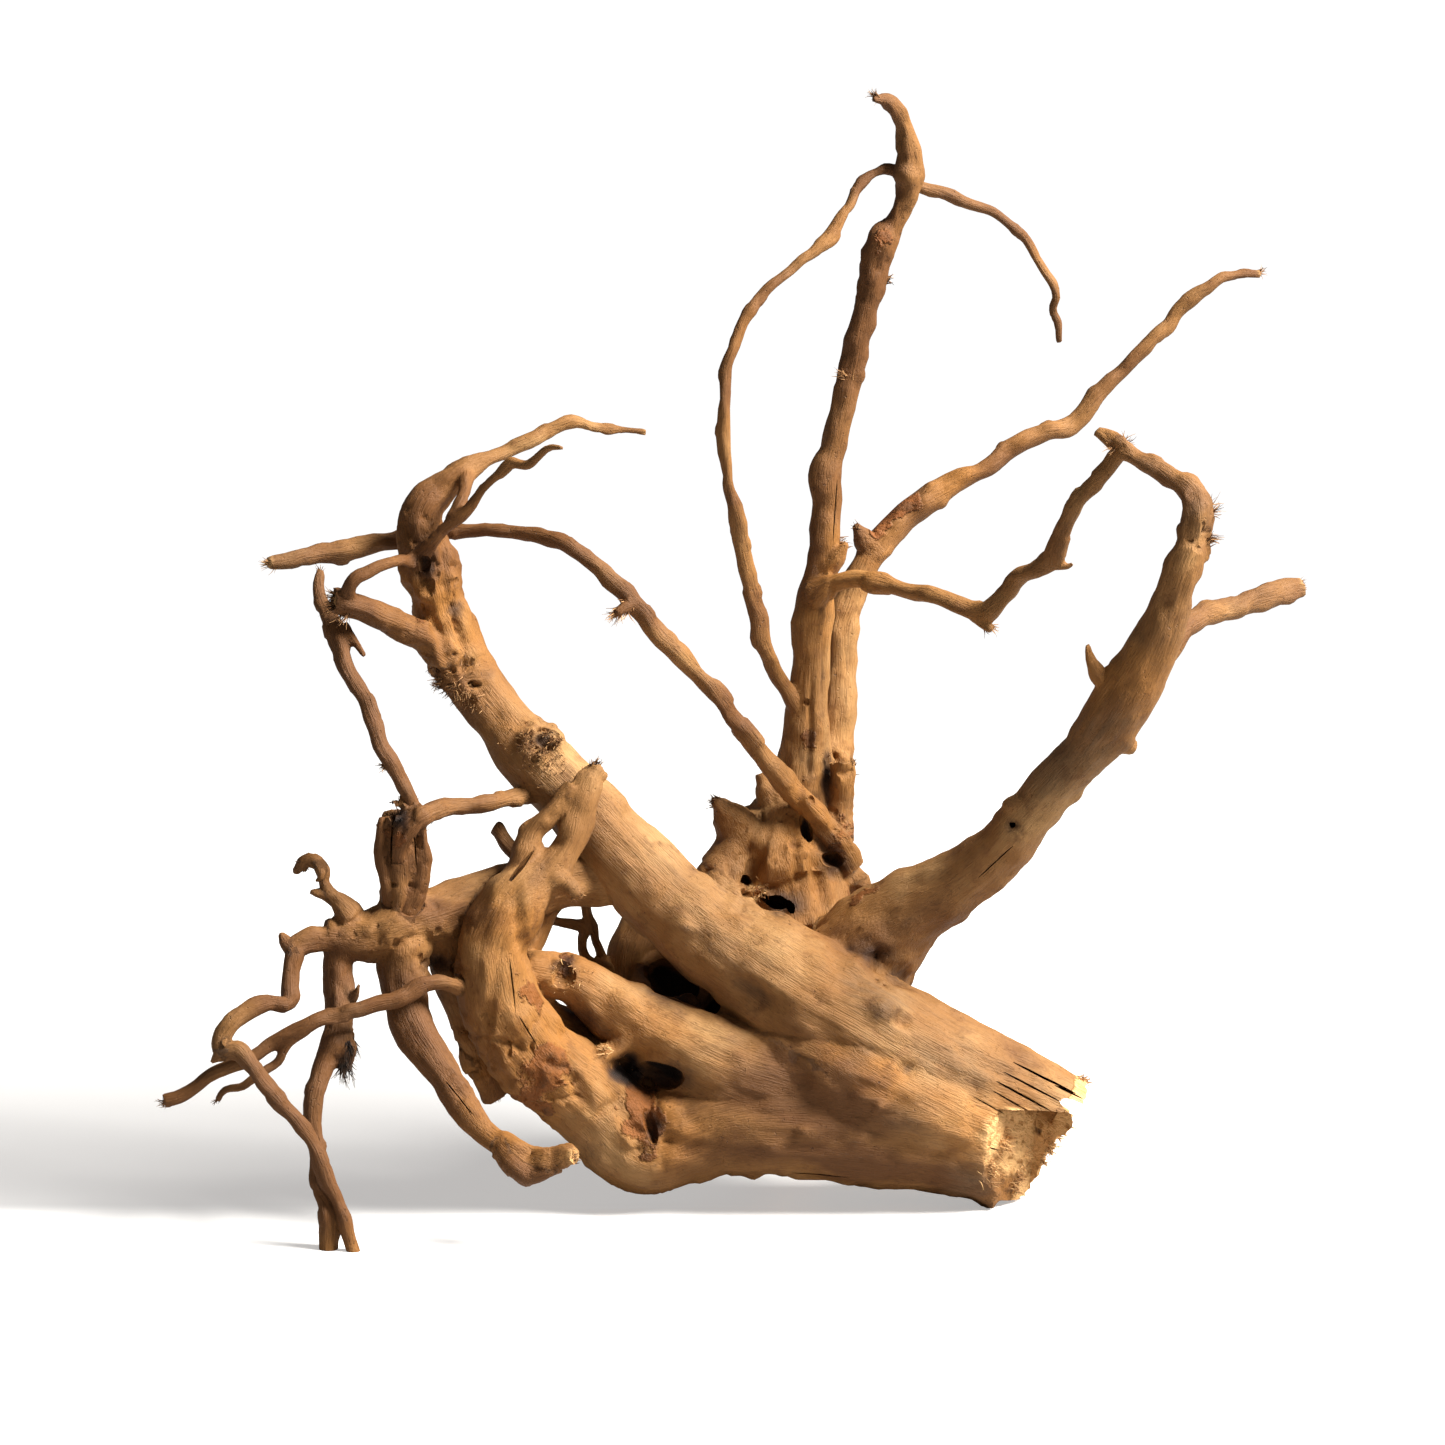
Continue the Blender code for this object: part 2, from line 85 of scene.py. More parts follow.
def place(across, down, away, radius=1.0):
    """(x, y, z, radius) in mm of what shows at this place of the sheet."""
    sight = EYE_DISTANCE * AHEAD + (across - SHEET_SIDE / 2) * RIGHT + (SHEET_SIDE / 2 - down) * UP
    reach = (away + SHEET_MIDDLE[1] - EYE[1]) / sight[1]
    return np.append(EYE + reach * sight, radius * reach)


def on_sheet(points):
    """Where points show on the sheet: across and down, and how far away they are."""
    from_eye = points - EYE
    scale = EYE_DISTANCE / (from_eye @ AHEAD)
    across = SHEET_SIDE / 2 + (from_eye @ RIGHT) * scale
    down = SHEET_SIDE / 2 - (from_eye @ UP) * scale
    return np.stack([across, down, points[:, 1] - SHEET_MIDDLE[1]], axis=1)


print("the middle of the trunk is at", place(360, 430, 0)[:3].round(1), "mm")

# %% [markdown]
# ## The routes
# Each root is a list of points on the sheet, from its thick end to its tip: across, down, away,
# and the root's radius there. They were read from the photograph, root by root. The
# roots stand in two rows, because grain is worked out for each row by itself and then blended.
# As a rule, a root is in the other row than the one it grows from.

# %% The first row of roots
FIRST_ROOTS = {
    "upper_limb": [
        (446, 458, 0, 17.5), (425, 449, -1, 19.6), (404, 440, -2, 21.8), (384, 432, -3, 24),
        (362, 421, -4, 25), (340, 408, -3, 25), (320, 397, 0, 24.5), (302, 385, 3, 22.5),
        (286, 374, 5, 19.5), (267, 359, 7, 17), (255, 347, 8, 16.2), (242.5, 334.5, 9, 15.4),
        (226, 315.5, 10, 14.2), (212.5, 302, 12, 13.6), (201.5, 289, 14, 11.6), (192, 277, 16, 11.4),
        (184.5, 264.5, 18, 12),
        (177.5, 248, 17, 11.4), (174.5, 236, 16, 11), (171, 222, 15, 11.6),
        (168, 209, 15, 9), (170, 202, 16, 7.2), (176, 196, 18, 6.2), (184.5, 189.5, 21, 5.4),
        (194, 183.5, 25, 3.9), (203, 180, 29, 3.2), (213, 175, 33, 3), (220, 171.5, 36, 2.9),
        (229, 168.5, 39, 2.6), (235, 169.5, 41, 2.1), (246, 171.5, 45, 1.8), (258, 173, 49, 1.2),
    ],
    "heel": [(388, 463, -8, 14), (396, 473, -8, 11.5), (401, 480, -8, 9)],
    "finger": [
        (208, 388, -16, 9), (219, 390, -12, 9.5), (230, 393, -9, 10.2), (242, 401, -7, 12),
        (256, 410, -5, 15), (272, 419, -6, 18), (292, 428, -8, 20), (318, 436, -8, 20),
    ],
    "hook_rim": [
        (205, 354, -22, 7), (210.8, 341, -19, 6.0), (214.4, 332.5, -17, 4.7), (220.5, 325, -15, 5.2),
        (230, 317, -11, 6.2),
    ],
    "hook_nub": [(222, 352, -22, 8), (228.5, 356, -25, 3.8), (231.5, 358, -26, 2.2)],
    "thumb": [
        (177, 374, -16, 9), (180, 387, -14, 8), (184, 400, -13, 7.2), (188.5, 415, -12, 6.6),
        (194.5, 430, -11, 6), (198.5, 438, -10, 4.6),
    ],
    "stub_up": [
        (140, 368, -32, 6.2), (134.5, 361.5, -31, 4.2), (131, 357.5, -30.5, 3.6), (129.5, 353, -30, 2.6),
        (128.6, 348.5, -29, 3), (126.5, 345, -28, 2.7), (123, 344.8, -27, 2.4), (120.3, 346.8, -27, 1.8),
        (118.6, 349.4, -27, 0.9),
    ],
    "claw": [(128, 347, -29, 2.8), (128, 350.6, -32, 1.8), (125.6, 352.8, -33, 0.8)],
    "stub_spur": [(132, 360, -31, 3.4), (127.4, 358.4, -32, 2.2), (123.8, 357, -33, 0.9)],
    "leg_corner": [(116.5, 381, -43, 3.8), (113, 376.4, -42, 2.6), (111, 373.6, -42, 1)],
    "leg_knee": [(90, 419, -65, 3.8), (86.6, 422.6, -66, 2.4), (85, 424.6, -66, 1)],
    "leg_thorn": [(139, 399, -40, 4), (143, 397.6, -43, 1.7), (145, 394, -44, 0.8)],
    "thumb_spur": [(190, 424, -13, 5.4), (186, 421, -14, 3), (184.4, 418.4, -15, 1.2)],
    "foot_flake": [(201, 459, -66, 4.8), (208, 466, -70, 5), (215.5, 469, -74, 4), (222, 468.6, -76, 2)],
    "upright_spur": [(330, 227, 60, 5), (335.6, 221.6, 58, 3.2), (338.6, 217.6, 57, 1.3)],
    "leg_front": [
        (132, 375, -35, 5), (119, 378, -41, 4.5), (116, 384, -44, 3.8), (115, 394, -48, 3.6),
        (114, 401, -52, 3.8), (107, 401, -55, 3.2), (100, 404.5, -58, 3.2), (93, 409.5, -61, 3.5),
        (88.5, 416, -63, 4), (89, 420, -65, 3.7), (94.5, 420, -66, 3.8), (101, 427, -68, 3.5),
        (112, 441, -70, 3.6), (120, 450.5, -71, 3.7), (127, 463, -72, 3.4), (132.5, 475, -73, 3),
        (137, 487, -74.5, 2.9), (141.8, 502, -76, 2.8),
    ],
    "leg_middle": [
        (138, 376, -31, 8), (135, 386, -34, 5.8), (136.5, 398.5, -39, 6), (134.5, 415, -46, 5.6),
        (129, 430, -53, 4.1), (125.5, 440, -57, 3.6), (125, 448, -60, 3.4), (127, 464, -65, 3.5),
        (129, 476, -68, 3.5), (131.5, 488, -71, 3.8), (131.5, 502, -73, 3.8),
    ],
    "leg_back": [
        (162, 374, -24, 11.5), (161.5, 388, -29, 10), (162, 400, -34, 8.8), (167, 414.5, -42, 8.2),
        (178, 431, -50, 7.4), (184, 440, -54, 7.4), (193.5, 453, -60, 5.2), (205, 460, -66, 5.4),
        (217, 465, -71, 6), (226, 463, -75, 5.2), (230.5, 462.5, -77, 4),
    ],
    "thin_twig": [
        (122, 413, -58, 2.2), (117.5, 417, -59, 2), (113.5, 421.5, -60, 1.9),
        (110.5, 426.5, -60, 1.7), (106, 429, -61, 1.7), (100.5, 432, -62, 1.7),
        (97, 435, -63, 1.7), (90.5, 436.5, -63, 1.5), (86.5, 441, -64, 1.3),
    ],
    "post": [
        (161, 367, -25, 10), (161, 354, -27, 8), (161, 344, -28, 7.4), (161, 336, -28, 8.2),
        (160.5, 326, -28, 8.2),
    ],
    "left_spur": [(137, 251, -4, 2.4), (142, 256.5, -9, 1.9), (145, 260, -12, 1.4), (147, 262.5, -14, 1)],
    "left_thorn": [(162, 321, -31, 1.8), (157, 322, -33, 1.3), (152, 323.5, -36, 0.9)],
    "crown_twig": [
        (143, 242, -9, 3.4), (139.5, 236, -14, 2.6), (142, 231, -16, 2.4), (147, 228.5, -15, 2.3),
        (153, 226, -12, 2.1), (160, 224.5, -7, 2.1), (166, 223, 0, 2.6), (171, 218, -1, 2.8),
        (177.5, 211.5, -1, 2.6), (185, 205, -2, 2.6), (192.5, 198, -5, 2.2), (199, 191.5, -9, 2.2),
        (205, 185.5, -13, 2.2), (211.5, 185, -17, 1.8), (216, 182, -20, 1.8), (220.5, 179, -23, 1.5),
        (225, 180, -26, 1),
    ],
    "long_root": [
        (340, 347, 46, 7), (335, 338, 43, 6), (328, 328, 40, 5.6), (320, 319, 37, 5.2),
        (313, 311, 34, 4.8), (303, 299, 30, 4), (293, 286, 26, 4), (282.5, 273, 23, 4.1),
        (272.5, 263, 20, 4.4), (264, 254, 18, 4.4), (255, 244.5, 17, 4), (248, 235, 17, 3.7),
        (240, 226.5, 18, 3.6), (231, 221, 20, 3.2), (219.5, 215, 24, 2.8), (212.5, 214, 27, 2.5),
        (200, 213, 31, 2.8), (185, 212.5, 34, 3.2), (174, 214, 34, 3.4), (163, 216, 31, 3.8),
        (149, 218.5, 25, 4), (138.5, 220.5, 20, 4.3), (130.5, 222, 16, 3.9), (116.5, 223, 9, 3.2),
        (107.5, 225, 5, 2.4),
    ],
    "burl_left": [
        (306, 346, 50, 15), (297, 337, 46, 9.5), (292, 328, 42, 6.5), (288.5, 323, 39, 4),
        (285.5, 320.5, 37, 2),
    ],
    "burl_flank": [
        (302, 330, 48, 9), (295, 340, 44, 10), (291, 350, 40, 12), (290, 362, 36, 14), (292, 378, 34, 14),
    ],
    "burl_shoulder": [(312, 322, 52, 9), (306, 314, 50, 5), (304.5, 309, 49, 3)],
    "burl_right": [(330, 352, 52, 14), (340, 352, 50, 8), (347, 353.5, 47, 4)],
    "broken_stub": [(334, 336, 52, 6.5), (336, 320, 50, 5), (337, 308, 49, 4.6), (337.5, 302, 49, 4.4)],
    "second_upright": [
        (329, 338, 64, 12.5), (331, 314, 70, 9.6), (333.5, 296, 74, 8), (335.5, 276, 77, 7),
        (336.5, 256, 79, 6.4), (339, 244, 81, 6), (344.5, 230, 84, 5.9), (351, 218.5, 87, 6),
        (360, 209, 90, 5.6), (369, 201.5, 93, 5.6), (378, 195, 96, 5), (395, 186, 101, 4.2),
        (402.5, 180.5, 104, 4.4), (414.5, 174.5, 108, 3.7), (425.5, 171, 112, 3.7),
        (438.5, 159, 116, 3.3), (447, 150.5, 119, 3.3), (457, 140, 121, 3.2), (467, 131, 123, 2.9),
        (471.5, 124, 124, 2.6), (477, 117.5, 125, 2.7), (487.5, 111.6, 127, 2.4),
        (495, 110.5, 129, 2.1), (504.5, 109, 131, 1.9),
    ],
    "arch_root": [
        (322, 286, 58, 4.4), (315, 278, 54, 3.6), (308, 264, 46, 3.4), (301, 239, 36, 3.2),
        (296, 215, 29, 3.2), (291, 189, 25, 2.9), (290, 174, 24, 2.8), (291, 152.5, 25, 2.6),
        (297, 130.5, 30, 2.5), (305, 118, 35, 2.4), (316.5, 107, 41, 2.4), (326, 100, 46, 2.5),
        (335.5, 91, 52, 2.5), (339, 83, 56, 2.4), (344, 73, 61, 2.3), (353, 67.5, 66, 2.2),
        (361, 69, 70, 2.4), (369, 75, 74, 2.4), (380.5, 79, 78, 2.4), (390, 82.5, 81, 2.1),
        (400.5, 86, 84, 2), (408, 92.5, 86, 1.9), (415, 103, 88, 1.8), (419, 110.5, 89, 1.8),
        (422, 118.5, 89, 1.6), (421, 123, 90, 1.5), (423, 129, 90, 1.4), (424, 136.5, 91, 1.2),
    ],
    "cross_branch": [
        (326, 238, 58, 6.5), (334, 233.5, 52, 4.6), (343, 231.5, 48, 4.1), (349.5, 233, 44, 3.9),
        (363, 236, 37, 3.6), (376, 238.5, 29, 3.6), (384, 242.5, 25, 3.8), (391, 244.5, 21, 4),
        (397, 242, 17, 3.8), (402, 237, 14, 3.7), (407.5, 230, 9, 3.8), (414.5, 227, 4, 4.1),
        (421, 223.5, -1, 4.6), (423.5, 215.5, -6, 3.8), (429.5, 203.5, -14, 3.3),
        (435.5, 196.5, -18, 3.3), (443, 188, -23, 3.2), (447, 181.5, -26, 3.4), (449.5, 178.5, -27, 3.2),
    ],
    "rear_arch": [
        (308, 360, 52, 16), (288, 360, 50, 12), (272, 360, 48, 10.5), (262, 365, 44, 10),
        (255, 374, 40, 9.2), (251, 386, 35, 9), (253, 400, 29, 9.5), (262, 414, 20, 12),
    ],
    "rear_leg": [
        (320, 356, 60, 20), (302, 376, 72, 19), (288, 396, 78, 18), (288, 416, 80, 16),
        (300, 434, 80, 13), (316, 450, 80, 9), (326, 462, 80, 7), (331, 472, 80, 6.5),
    ],
    "rear_stub": [(372, 444, 8, 14), (374, 440, 28, 10.5), (377, 437, 42, 9), (379, 435, 50, 8.5)],
    "inner_root": [(256, 392, 26, 5), (262, 393, 18, 4.4), (269, 398, 12, 4.2), (277, 405, 6, 6)],
    "strut_root": [(232.5, 356, 14, 2.4), (235, 366, 20, 2.1), (238.5, 376, 25, 2), (243, 390, 32, 2.6)],
    "horn_bark": [(478, 196, -36, 2.4), (482, 204, -38, 3.4), (483.5, 214, -38, 3), (480, 224, -38, 3)],
    "horn_twig": [
        (464, 262, -32, 6.5), (472.5, 252.5, -24, 4.9), (478.5, 248.5, -17, 4.7),
        (485.5, 245.2, -9, 4.6), (496, 242, 1, 4.6), (505.5, 239, 9, 4.6), (514, 236.5, 16, 4.3),
        (521, 234.5, 21, 4.2),
    ],
    "horn_spur": [
        (444, 277, -26, 5), (438.5, 266, -29, 2.8), (436.5, 261, -30, 1.8), (435.5, 257, -31, 1.1),
    ],
    "horn_nub": [(446, 296, -22, 6), (453, 299, -23, 2)],
}
print(len(FIRST_ROOTS), "roots in the first row")

# %% The second row of roots
SECOND_ROOTS = {
    "trunk_lower": [
        (434, 472, -3, 14.5), (420, 467, -3, 17), (409, 463, -3, 19.5), (394, 459, -3, 22.5),
        (372, 452, -3, 25),
        (340, 447, -4, 26.5), (308, 445, -5, 25.5), (288, 447, -6, 23), (274, 452, -7, 21),
        (256, 456, -9, 20.5), (236, 439, -14, 18), (218, 425, -20, 17.5), (207, 413, -25, 17),
        (201, 403, -27, 16.4), (198, 392, -28, 15.2), (197, 379, -27, 13.7),
        (202, 367, -25, 14.5), (209, 358, -23, 13.4), (217, 351, -20, 9.6), (226.5, 340, -17, 7),
        (231, 326, -13, 7), (235, 314, -9, 6.5), (239, 308, -6, 4),
    ],
    "trunk_web": [
        (288, 406, 4, 9), (300, 413, -1, 13), (318, 421, -7, 18.5), (340, 430, -11, 23.5),
        (362, 438, -10, 24), (384, 445, -8, 22.5), (404, 450, -5, 19.5), (424, 455, -3, 16.5),
        (438, 462, -2, 14),
    ],
    "finger_web": [(230, 430, -20, 7), (241, 423, -18, 4.6), (247, 419, -16, 4.4), (256, 413, -12, 8)],
    "inner_fill": [(272, 397, 26, 6), (283, 403, 24, 7), (296, 409, 18, 9)],
    "eye_back": [(244, 428, 6, 9), (260, 434, 6, 11), (276, 440, 6, 12)],
    "post_slab": [(157, 366, -29, 4.6), (154, 352, -32, 3), (152.8, 339, -33, 2.6), (152.4, 327, -33, 1.6)],
    "post_rib": [(163, 364, -31, 4.6), (167.6, 351, -32, 3.2), (169, 340, -32, 2.7), (168.4, 329, -32, 1.8)],
    "under_root": [(206, 404, -14, 12), (224, 412, 2, 10), (240, 418, 8, 11), (260, 426, 6, 15)],
    "crown_knot": [(190, 270, 14, 9), (180, 272, 9, 7), (176, 273, 7, 4)],
    "arm": [
        (258, 353, 18, 10), (240, 350.5, 11, 11), (222, 352.5, 1, 11.4), (204, 357, -8, 12),
        (186, 362, -14, 11.3), (172, 367, -20, 11), (160, 370, -25, 12), (149, 374, -29, 10.6),
        (139, 375, -32, 8.5), (130, 374, -35, 6),
    ],
    "thin_root": [
        (188, 394, -30, 4.5), (179, 394, -40, 3.4), (170, 394.5, -46, 3.2), (161, 400, -50, 3.2),
        (150.5, 402, -52, 3.2), (136.5, 405, -55, 3.2), (122, 411.5, -58, 3.2),
        (107.5, 419, -59, 3.2), (100.5, 423, -60, 3), (93.5, 425.5, -61, 2.8), (83, 431, -62, 2.6),
        (74, 438, -63, 2.6), (66, 441, -64, 2.5),
    ],
    "tuft_stub": [(137, 414, -47, 4.5), (138.5, 422, -49, 3.4), (137.5, 429, -51, 2)],
    "left_twig": [
        (164, 332, -30, 3.8), (163.5, 321, -31, 3.4), (160.5, 314, -31, 3.3), (155.5, 304, -30, 3.6),
        (149.5, 288, -25, 3.6), (144.5, 277, -20, 3.6), (139, 265.5, -13, 3.7), (135, 255, -5, 4.3),
        (130.5, 245, 3, 3.2), (127, 238, 8, 2.7), (126.5, 231, 12, 2.2), (127.5, 228.5, 13, 1.6),
    ],
    "left_link": [
        (159, 343, -34, 3), (161.5, 334, -37, 4), (166, 328, -36, 4.2), (171.5, 324.5, -31, 3.8),
        (179.5, 322, -22, 3.4), (193.5, 321.5, -12, 3.3), (203, 320.5, -4, 3.3), (216, 317, 5, 4),
    ],
    "tail_stub": [(198.5, 331.5, 8, 2.8), (202, 336, 5, 2.8), (206.5, 341, 2, 3), (214, 348, -2, 4.5)],
    "crown_stub": [
        (184, 265, 16, 10), (174, 258, 10, 7.5), (165, 253, 4, 6), (155, 248.5, -3, 5.6),
        (145, 244, -9, 5.6), (136, 241, -12, 5.6), (131.5, 240, -13, 4),
    ],
    "crown_tie": [(187, 189, 21, 3.5), (185.5, 195, 12, 2.8), (183, 202, 3, 2.6), (180.5, 207, -1, 2.6)],
    "long_root_spur": [(254, 243, 17, 3), (249.5, 244, 13, 2.2), (246, 246, 11, 1.6)],
    "burl": [
        (322, 380, 34, 20), (318, 357, 52, 24), (314, 341, 55, 24.5), (318, 326, 57, 18),
        (321, 312, 58, 12.5), (322.5, 296, 59, 9.6), (323, 281, 60, 8.2), (324.5, 260.5, 61, 8),
        (326, 240, 62, 7.8), (328, 229, 62, 6.2), (330, 215, 63, 6.1), (330.5, 199, 64, 6),
        (331, 189, 64, 6.5), (333.5, 179, 65, 5.6), (337, 163.5, 65, 4.8), (340.5, 148.5, 66, 4.8),
        (345, 127.5, 66, 5), (348, 115, 66, 5.4), (351, 102, 66, 6.2), (354, 95, 66, 6.4),
        (357.5, 89, 66, 4.6), (361, 80, 66, 4.5), (363.5, 70.5, 66, 5.7), (364, 61, 64, 4.6),
        (362, 51, 61, 4.2), (359, 45, 58, 4.1), (355, 41, 54, 2.8), (349, 39, 49, 1.2),
    ],
    "elbow_spur": [(350, 222, 86, 6.4), (345, 214.5, 83, 3.6), (342, 209.6, 81, 1.4)],
    "cross_spur": [(386, 243, 24, 3.4), (391, 248, 20, 2.1), (396, 251, 17, 1.5)],
    "cross_nub": [(421, 225, -1, 3.6), (426.5, 226.5, -3, 1.6), (429, 225.5, -4, 1)],
    "back_bowl": [(257, 387, 36, 8), (266, 391.5, 32, 9.6), (275, 398, 28, 11), (285, 406, 18, 12)],
    "wiry_root": [
        (214, 364, 8, 2.6), (223, 368.5, 16, 2.1), (230, 370, 19, 2.2), (234, 371.5, 20, 2.5),
        (233, 376, 21, 1.8), (232.5, 380.5, 22, 1.9), (236, 385, 24, 2), (240.5, 387, 26, 2.4),
        (250, 392, 33, 3),
    ],
    "behind_hook": [(218, 360, 0, 7), (213.5, 372, 2, 6), (207, 384, -6, 7)],
    "horn": [
        (338, 390, 20, 24), (353, 373, 19, 20), (365, 363, 15, 15.6), (382, 353.5, 9, 13.2),
        (396, 343, 3, 12), (410.5, 327, -5, 10.7), (425, 311, -12, 10.2), (436, 299, -17, 10.5),
        (443.5, 289, -22, 11.8), (452.5, 275, -28, 12.2), (461, 260, -33, 10.6),
        (467.5, 244, -37, 9), (473, 228, -40, 7.6), (477.5, 215, -41, 6.8), (478.5, 207, -41, 6.4),
        (476, 196.5, -39, 5), (469, 190.5, -36, 3.6), (462, 185.5, -33, 3.6),
        (455.5, 182.5, -30, 3.6), (448, 178, -27, 3.4), (443, 175, -25, 2.8), (438, 172.5, -23, 1.9),
    ],
}
ROWS = (FIRST_ROOTS, SECOND_ROOTS)
# These are swellings of the root they sit on, so they take its grain.
LUMPS_OF_A_ROOT = (
    "trunk_web", "finger_web", "eye_back", "heel", "horn_bark", "hook_nub", "horn_nub", "burl_flank",
)
print(len(SECOND_ROOTS), "roots in the second row")

# %% [markdown]
# ## Laying the roots
# A Bezier curve with a round bevel is the quickest root: it runs smoothly through its points,
# and each point has its own radius. Skin on a chain of edges would do as well, but gives less
# say over the bends. All curves become one mesh, and a voxel remesh melts them together, as
# clay would, with one closed surface.


# %% Two helpers for working as by hand
def select_only(*pieces):
    bpy.ops.object.select_all(action="DESELECT")
    for piece in pieces:
        piece.select_set(True)
    bpy.context.view_layer.objects.active = pieces[0]


def apply_modifier(piece, kind, **settings):
    """Adds a modifier, sets it and applies it."""
    select_only(piece)
    bpy.ops.object.modifier_add(type=kind)
    modifier = piece.modifiers[-1]
    for name, value in settings.items():
        setattr(modifier, name, value)
    bpy.ops.object.modifier_apply(modifier=modifier.name)
    print(f"{piece.name}: {kind.lower()} leaves {len(piece.data.polygons)} faces")


# %% Lay each root as a curve, and join them
def lay_root(name, route):
    bpy.ops.curve.primitive_bezier_curve_add(location=(0, 0, 0))
    root = bpy.context.object
    root.name = name
    drawn = root.data
    drawn.dimensions = "3D"
    drawn.resolution_u = 8
    drawn.bevel_depth = 1
    drawn.bevel_resolution = 6
    drawn.use_fill_caps = True
    spline = drawn.splines[0]
    spline.radius_interpolation = "CARDINAL"
    spline.bezier_points.add(len(route) - 2)
    for knot, step in zip(spline.bezier_points, route):
        x, y, z, radius = place(*step) * MM
        knot.co = (x, y, z)
        knot.radius = radius
        knot.handle_left_type = knot.handle_right_type = "AUTO"
    return root


roots = [lay_root(name, route) for row in ROWS for name, route in row.items()]
select_only(*roots)
bpy.ops.object.convert(target="MESH")
bpy.ops.object.join()
wood = bpy.context.object
wood.name = "spiderwood_root"
wood.data.materials.clear()
bpy.ops.object.mode_set(mode="EDIT")
bpy.ops.mesh.select_all(action="SELECT")
bpy.ops.mesh.remove_doubles(threshold=0.001 * MM)
bpy.ops.object.mode_set(mode="OBJECT")
print(len(roots), "roots,", len(wood.data.vertices), "points before they are fused")

# %% Fuse them
VOXEL = 0.85
apply_modifier(wood, "REMESH", mode="VOXEL", voxel_size=VOXEL * MM)

# %% [markdown]
# ## The grain
# Wood splits, wrinkles and stains along its grain, and the grain follows each root round its
# bends. So every point of the mesh needs to know where it is on its root: how far along, and
# where in the cross-section. A frame is carried along each root's middle without twisting,
# and each point takes the frame of the nearest root.


# %% Read and write a mesh's points
def points_of(piece):
    """All points of the mesh in mm, and the way each one faces."""
    count = len(piece.data.vertices)
    points, facing = np.empty(count * 3, np.float32), np.empty(count * 3, np.float32)
    piece.data.vertices.foreach_get("co", points)
    piece.data.vertices.foreach_get("normal", facing)
    return points.reshape(-1, 3).astype(float) / MM, facing.reshape(-1, 3).astype(float)


def set_points(piece, points):
    piece.data.vertices.foreach_set("co", (points * MM).astype(np.float32).ravel())
    piece.data.update()


# %% The middle line of each root, with a frame that doesn't twist
def middle_line(route):
    knots = np.array([place(*step) for step in route])
    knots = np.vstack([2 * knots[0] - knots[1], knots, 2 * knots[-1] - knots[-2]])
    spans = []
    for before, here, there, beyond in zip(knots, knots[1:], knots[2:], knots[3:]):
        steps = max(2, int(np.linalg.norm((there - here)[:3]) / 1.5))
        t = np.linspace(0, 1, steps, endpoint=False)[:, None]
        bend = 2 * before - 5 * here + 4 * there - beyond
        twist = 3 * here - before - 3 * there + beyond
        spans.append(0.5 * (2 * here + (there - before) * t + bend * t**2 + twist * t**3))
    line = np.vstack(spans + [knots[-2:-1]])
    along = np.append(0, np.cumsum(np.linalg.norm(np.diff(line[:, :3], axis=0), axis=1)))
    ahead = np.gradient(line[:, :3], axis=0)
    ahead /= np.linalg.norm(ahead, axis=1)[:, None]
    side = np.cross(ahead, [0.3, 1, 0.2])
    for i in range(1, len(side)):
        side[i] = side[i - 1] - (side[i - 1] @ ahead[i]) * ahead[i]
        side[i] /= np.linalg.norm(side[i])
    side[0] /= np.linalg.norm(side[0])
    return line[:, :3], line[:, 3], along, ahead, side, np.cross(ahead, side)


LINES = [
    [middle_line(route) for name, route in row.items() if name not in LUMPS_OF_A_ROOT]
    for row in ROWS
]
print("the longest root is", round(max(line[2][-1] for row in LINES for line in row)), "mm long")


# %% The grain at any point
FARTHEST_GAP = 60.0
PAIRS_AT_ONCE = 4_000_000


def grain_at(points, row):
    """In this row of roots: (across, across, along) in mm, the gap to the root, its radius."""
    grain = np.zeros((len(points), 3))
    gap, thick = np.full(len(points), FARTHEST_GAP), np.full(len(points), 5.0)
    for number, (line, radius, along, ahead, side, other) in enumerate(LINES[row]):
        reach = radius.max() + 14
        near = ((points > line.min(0) - reach) & (points < line.max(0) + reach)).all(1)
        near = np.flatnonzero(near)
        for some in np.array_split(near, 1 + len(near) * len(line) // PAIRS_AT_ONCE):
            at = points[some]
            far = (at**2).sum(1)[:, None] + (line**2).sum(1) - 2 * at @ line.T
            i = far.argmin(1)
            off = at - line[i]
            here = np.linalg.norm(off, axis=1) - radius[i]
            closer = here < gap[some]
            kept, i, off = some[closer], i[closer], off[closer]
            gap[kept], thick[kept] = here[closer], radius[i]
            grain[kept, 0] = (off * side[i]).sum(1) + 37 * number
            grain[kept, 1] = (off * other[i]).sum(1)
            grain[kept, 2] = along[i] + (off * ahead[i]).sum(1)
    return grain, gap, thick


def blend(low, high, value):
    """0 below low, 1 above high, and a soft step between."""
    t = np.clip((value - low) / (high - low), 0, 1)
    return t * t * (3 - 2 * t)


def share_of_second(grains):
    """How much each point belongs to the second row, with a change 6 mm wide between them."""
    return blend(-3, 3, grains[0][1] - grains[1][1])


def of_nearer(grains, column):
    """This column of grain_at, from the row whose root is nearer."""
    return np.where(grains[0][1] > grains[1][1], grains[1][column], grains[0][column])


points, facing = points_of(wood)
grains = [grain_at(points, row) for row in (0, 1)]
second = share_of_second(grains)
print(f"{second.mean():.0%} of the wood follows the grain of a second-row root")

# %% [markdown]
# ## Weathering
# Blasted root isn't round: it has flutes and narrow grooves along its grain, lumps where
# twigs were, and gnarled stretches. A Displace modifier can't follow the grain, so the points
# are moved in code. The heights come from value noise: random numbers on a lattice, blended
# between its corners. Squeezed ten times shorter across the grain than along it, lumps
# become flutes. In the formulas, a noise is divided by its swings in mm, across, across and
# along, and multiplied by its height in mm. Slim roots have knobs and kinks besides.


